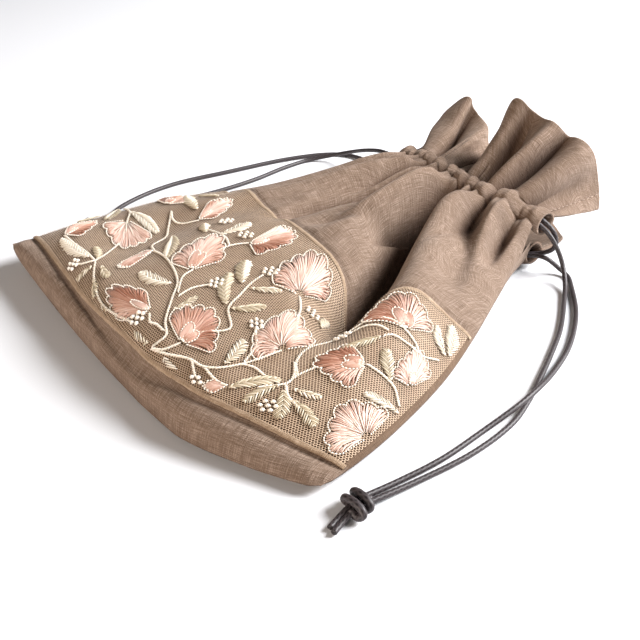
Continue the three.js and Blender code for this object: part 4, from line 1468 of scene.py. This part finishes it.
def seam_stitches(surface, line, height):
    """Even stitches along a line of places on a surface: points and ways up of each."""
    u, v = line
    points = surface(u, v)
    share = travelled(points)
    whole = line_length(points)
    starts = np.arange(0, whole - SEWN_LENGTH, SEWN_LENGTH + SEWN_GAP) / whole
    steps = np.linspace(0, SEWN_LENGTH / whole, SEWN_STEPS)
    places = starts[:, None] + steps[None]
    across = np.interp(places, share, u)
    along = np.interp(places, share, v)
    up = normals(surface, across, along)
    arch = height + 0.14 * np.sin(np.linspace(0, np.pi, SEWN_STEPS))
    return surface(across, along) + up * arch[None, :, None], up


def sewn_piece():
    """The rows of stitches along the frills' side edges."""
    v = np.linspace(0.15, 0.98, 200)
    rows = []
    for end in (-SIDE_SEAM, SIDE_SEAM):
        line = (np.full_like(v, end), v)
        rows.append(seam_stitches(front_frill, line, SEWN_OVER))
        points, up = seam_stitches(front_frill, line, SEWN_UNDER)
        rows.append((points, -up))
        rows.append(seam_stitches(back_frill, line, SEWN_OVER))
    parts = []
    for points, up in rows:
        radii = np.tile(SEWN_RADIUS * SEWN_TAPER, (len(points), 1))
        tube, faces = strands(points, up, radii, STITCH_SIDES)
        shade = np.repeat(RANDOM.uniform(0.2, 0.7, len(points)), SEWN_STEPS * STITCH_SIDES)
        parts.append((tube, faces, shade))
    points, faces, shade = joined(parts)
    mesh_piece("hem_stitches", points, faces, SEWING_THREAD, shade=shade)


sewn_piece()


# Floor and light

FLOOR_REACH = 3.0
FLOOR_HEIGHT = -2e-5
FLOOR_STOPS = [(0.3, (0.8, 0.805, 0.825)), (0.7, (0.82, 0.825, 0.845))]


def add_floor():
    mesh = bpy.data.meshes.new("floor")
    ways = ((-1, -1), (1, -1), (1, 1), (-1, 1))
    corners = [(x * FLOOR_REACH, y * FLOOR_REACH, FLOOR_HEIGHT) for x, y in ways]
    mesh.from_pydata(corners, [], [(0, 1, 2, 3)])
    floor = linked("floor", mesh)
    material, tree, shader = new_material("pale_floor", {"Roughness": 0.9, "Specular IOR Level": 0.1})
    place = object_place(tree)
    cloudy = stretched_noise(tree, place, (1.5, 1.5, 1.5))
    tree.links.new(ramp(tree, cloudy, FLOOR_STOPS), shader.inputs["Base Color"])
    mesh.materials.append(material)
    floor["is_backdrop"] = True


def add_area_light(name, place, target, size, power, colour):
    data = bpy.data.lights.new(name, "AREA")
    data.size = size
    data.energy = power
    data.color = colour
    light = linked(name, data)
    light.location = place
    light.rotation_euler = (Vector(target) - Vector(place)).to_track_quat("-Z", "Y").to_euler()


def add_lights():
    add_area_light("window", place=(0.52, 0.76, 0.64), target=(0.0, 0.0, 0.0), size=0.55,
                   power=38.0, colour=(0.98, 0.985, 1.0))
    add_area_light("fill", place=(0.12, -0.99, 0.2), target=(0.0, -0.05, 0.0), size=0.7,
                   power=11.0, colour=(1.0, 0.86, 0.74))
    world = bpy.data.worlds.new("studio")
    world.use_nodes = True
    background = world.node_tree.nodes["Background"]
    background.inputs["Color"].default_value = (1.0, 1.0, 1.0, 1.0)
    background.inputs["Strength"].default_value = 0.09
    bpy.context.scene.world = world
    bpy.context.scene.view_settings.view_transform = "Standard"


add_floor()
add_lights()


def plain(box):
    return [[float(value) for value in corner] for corner in box]


{"solids": plain(SOLIDS_BOX), "visual": plain(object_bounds())}
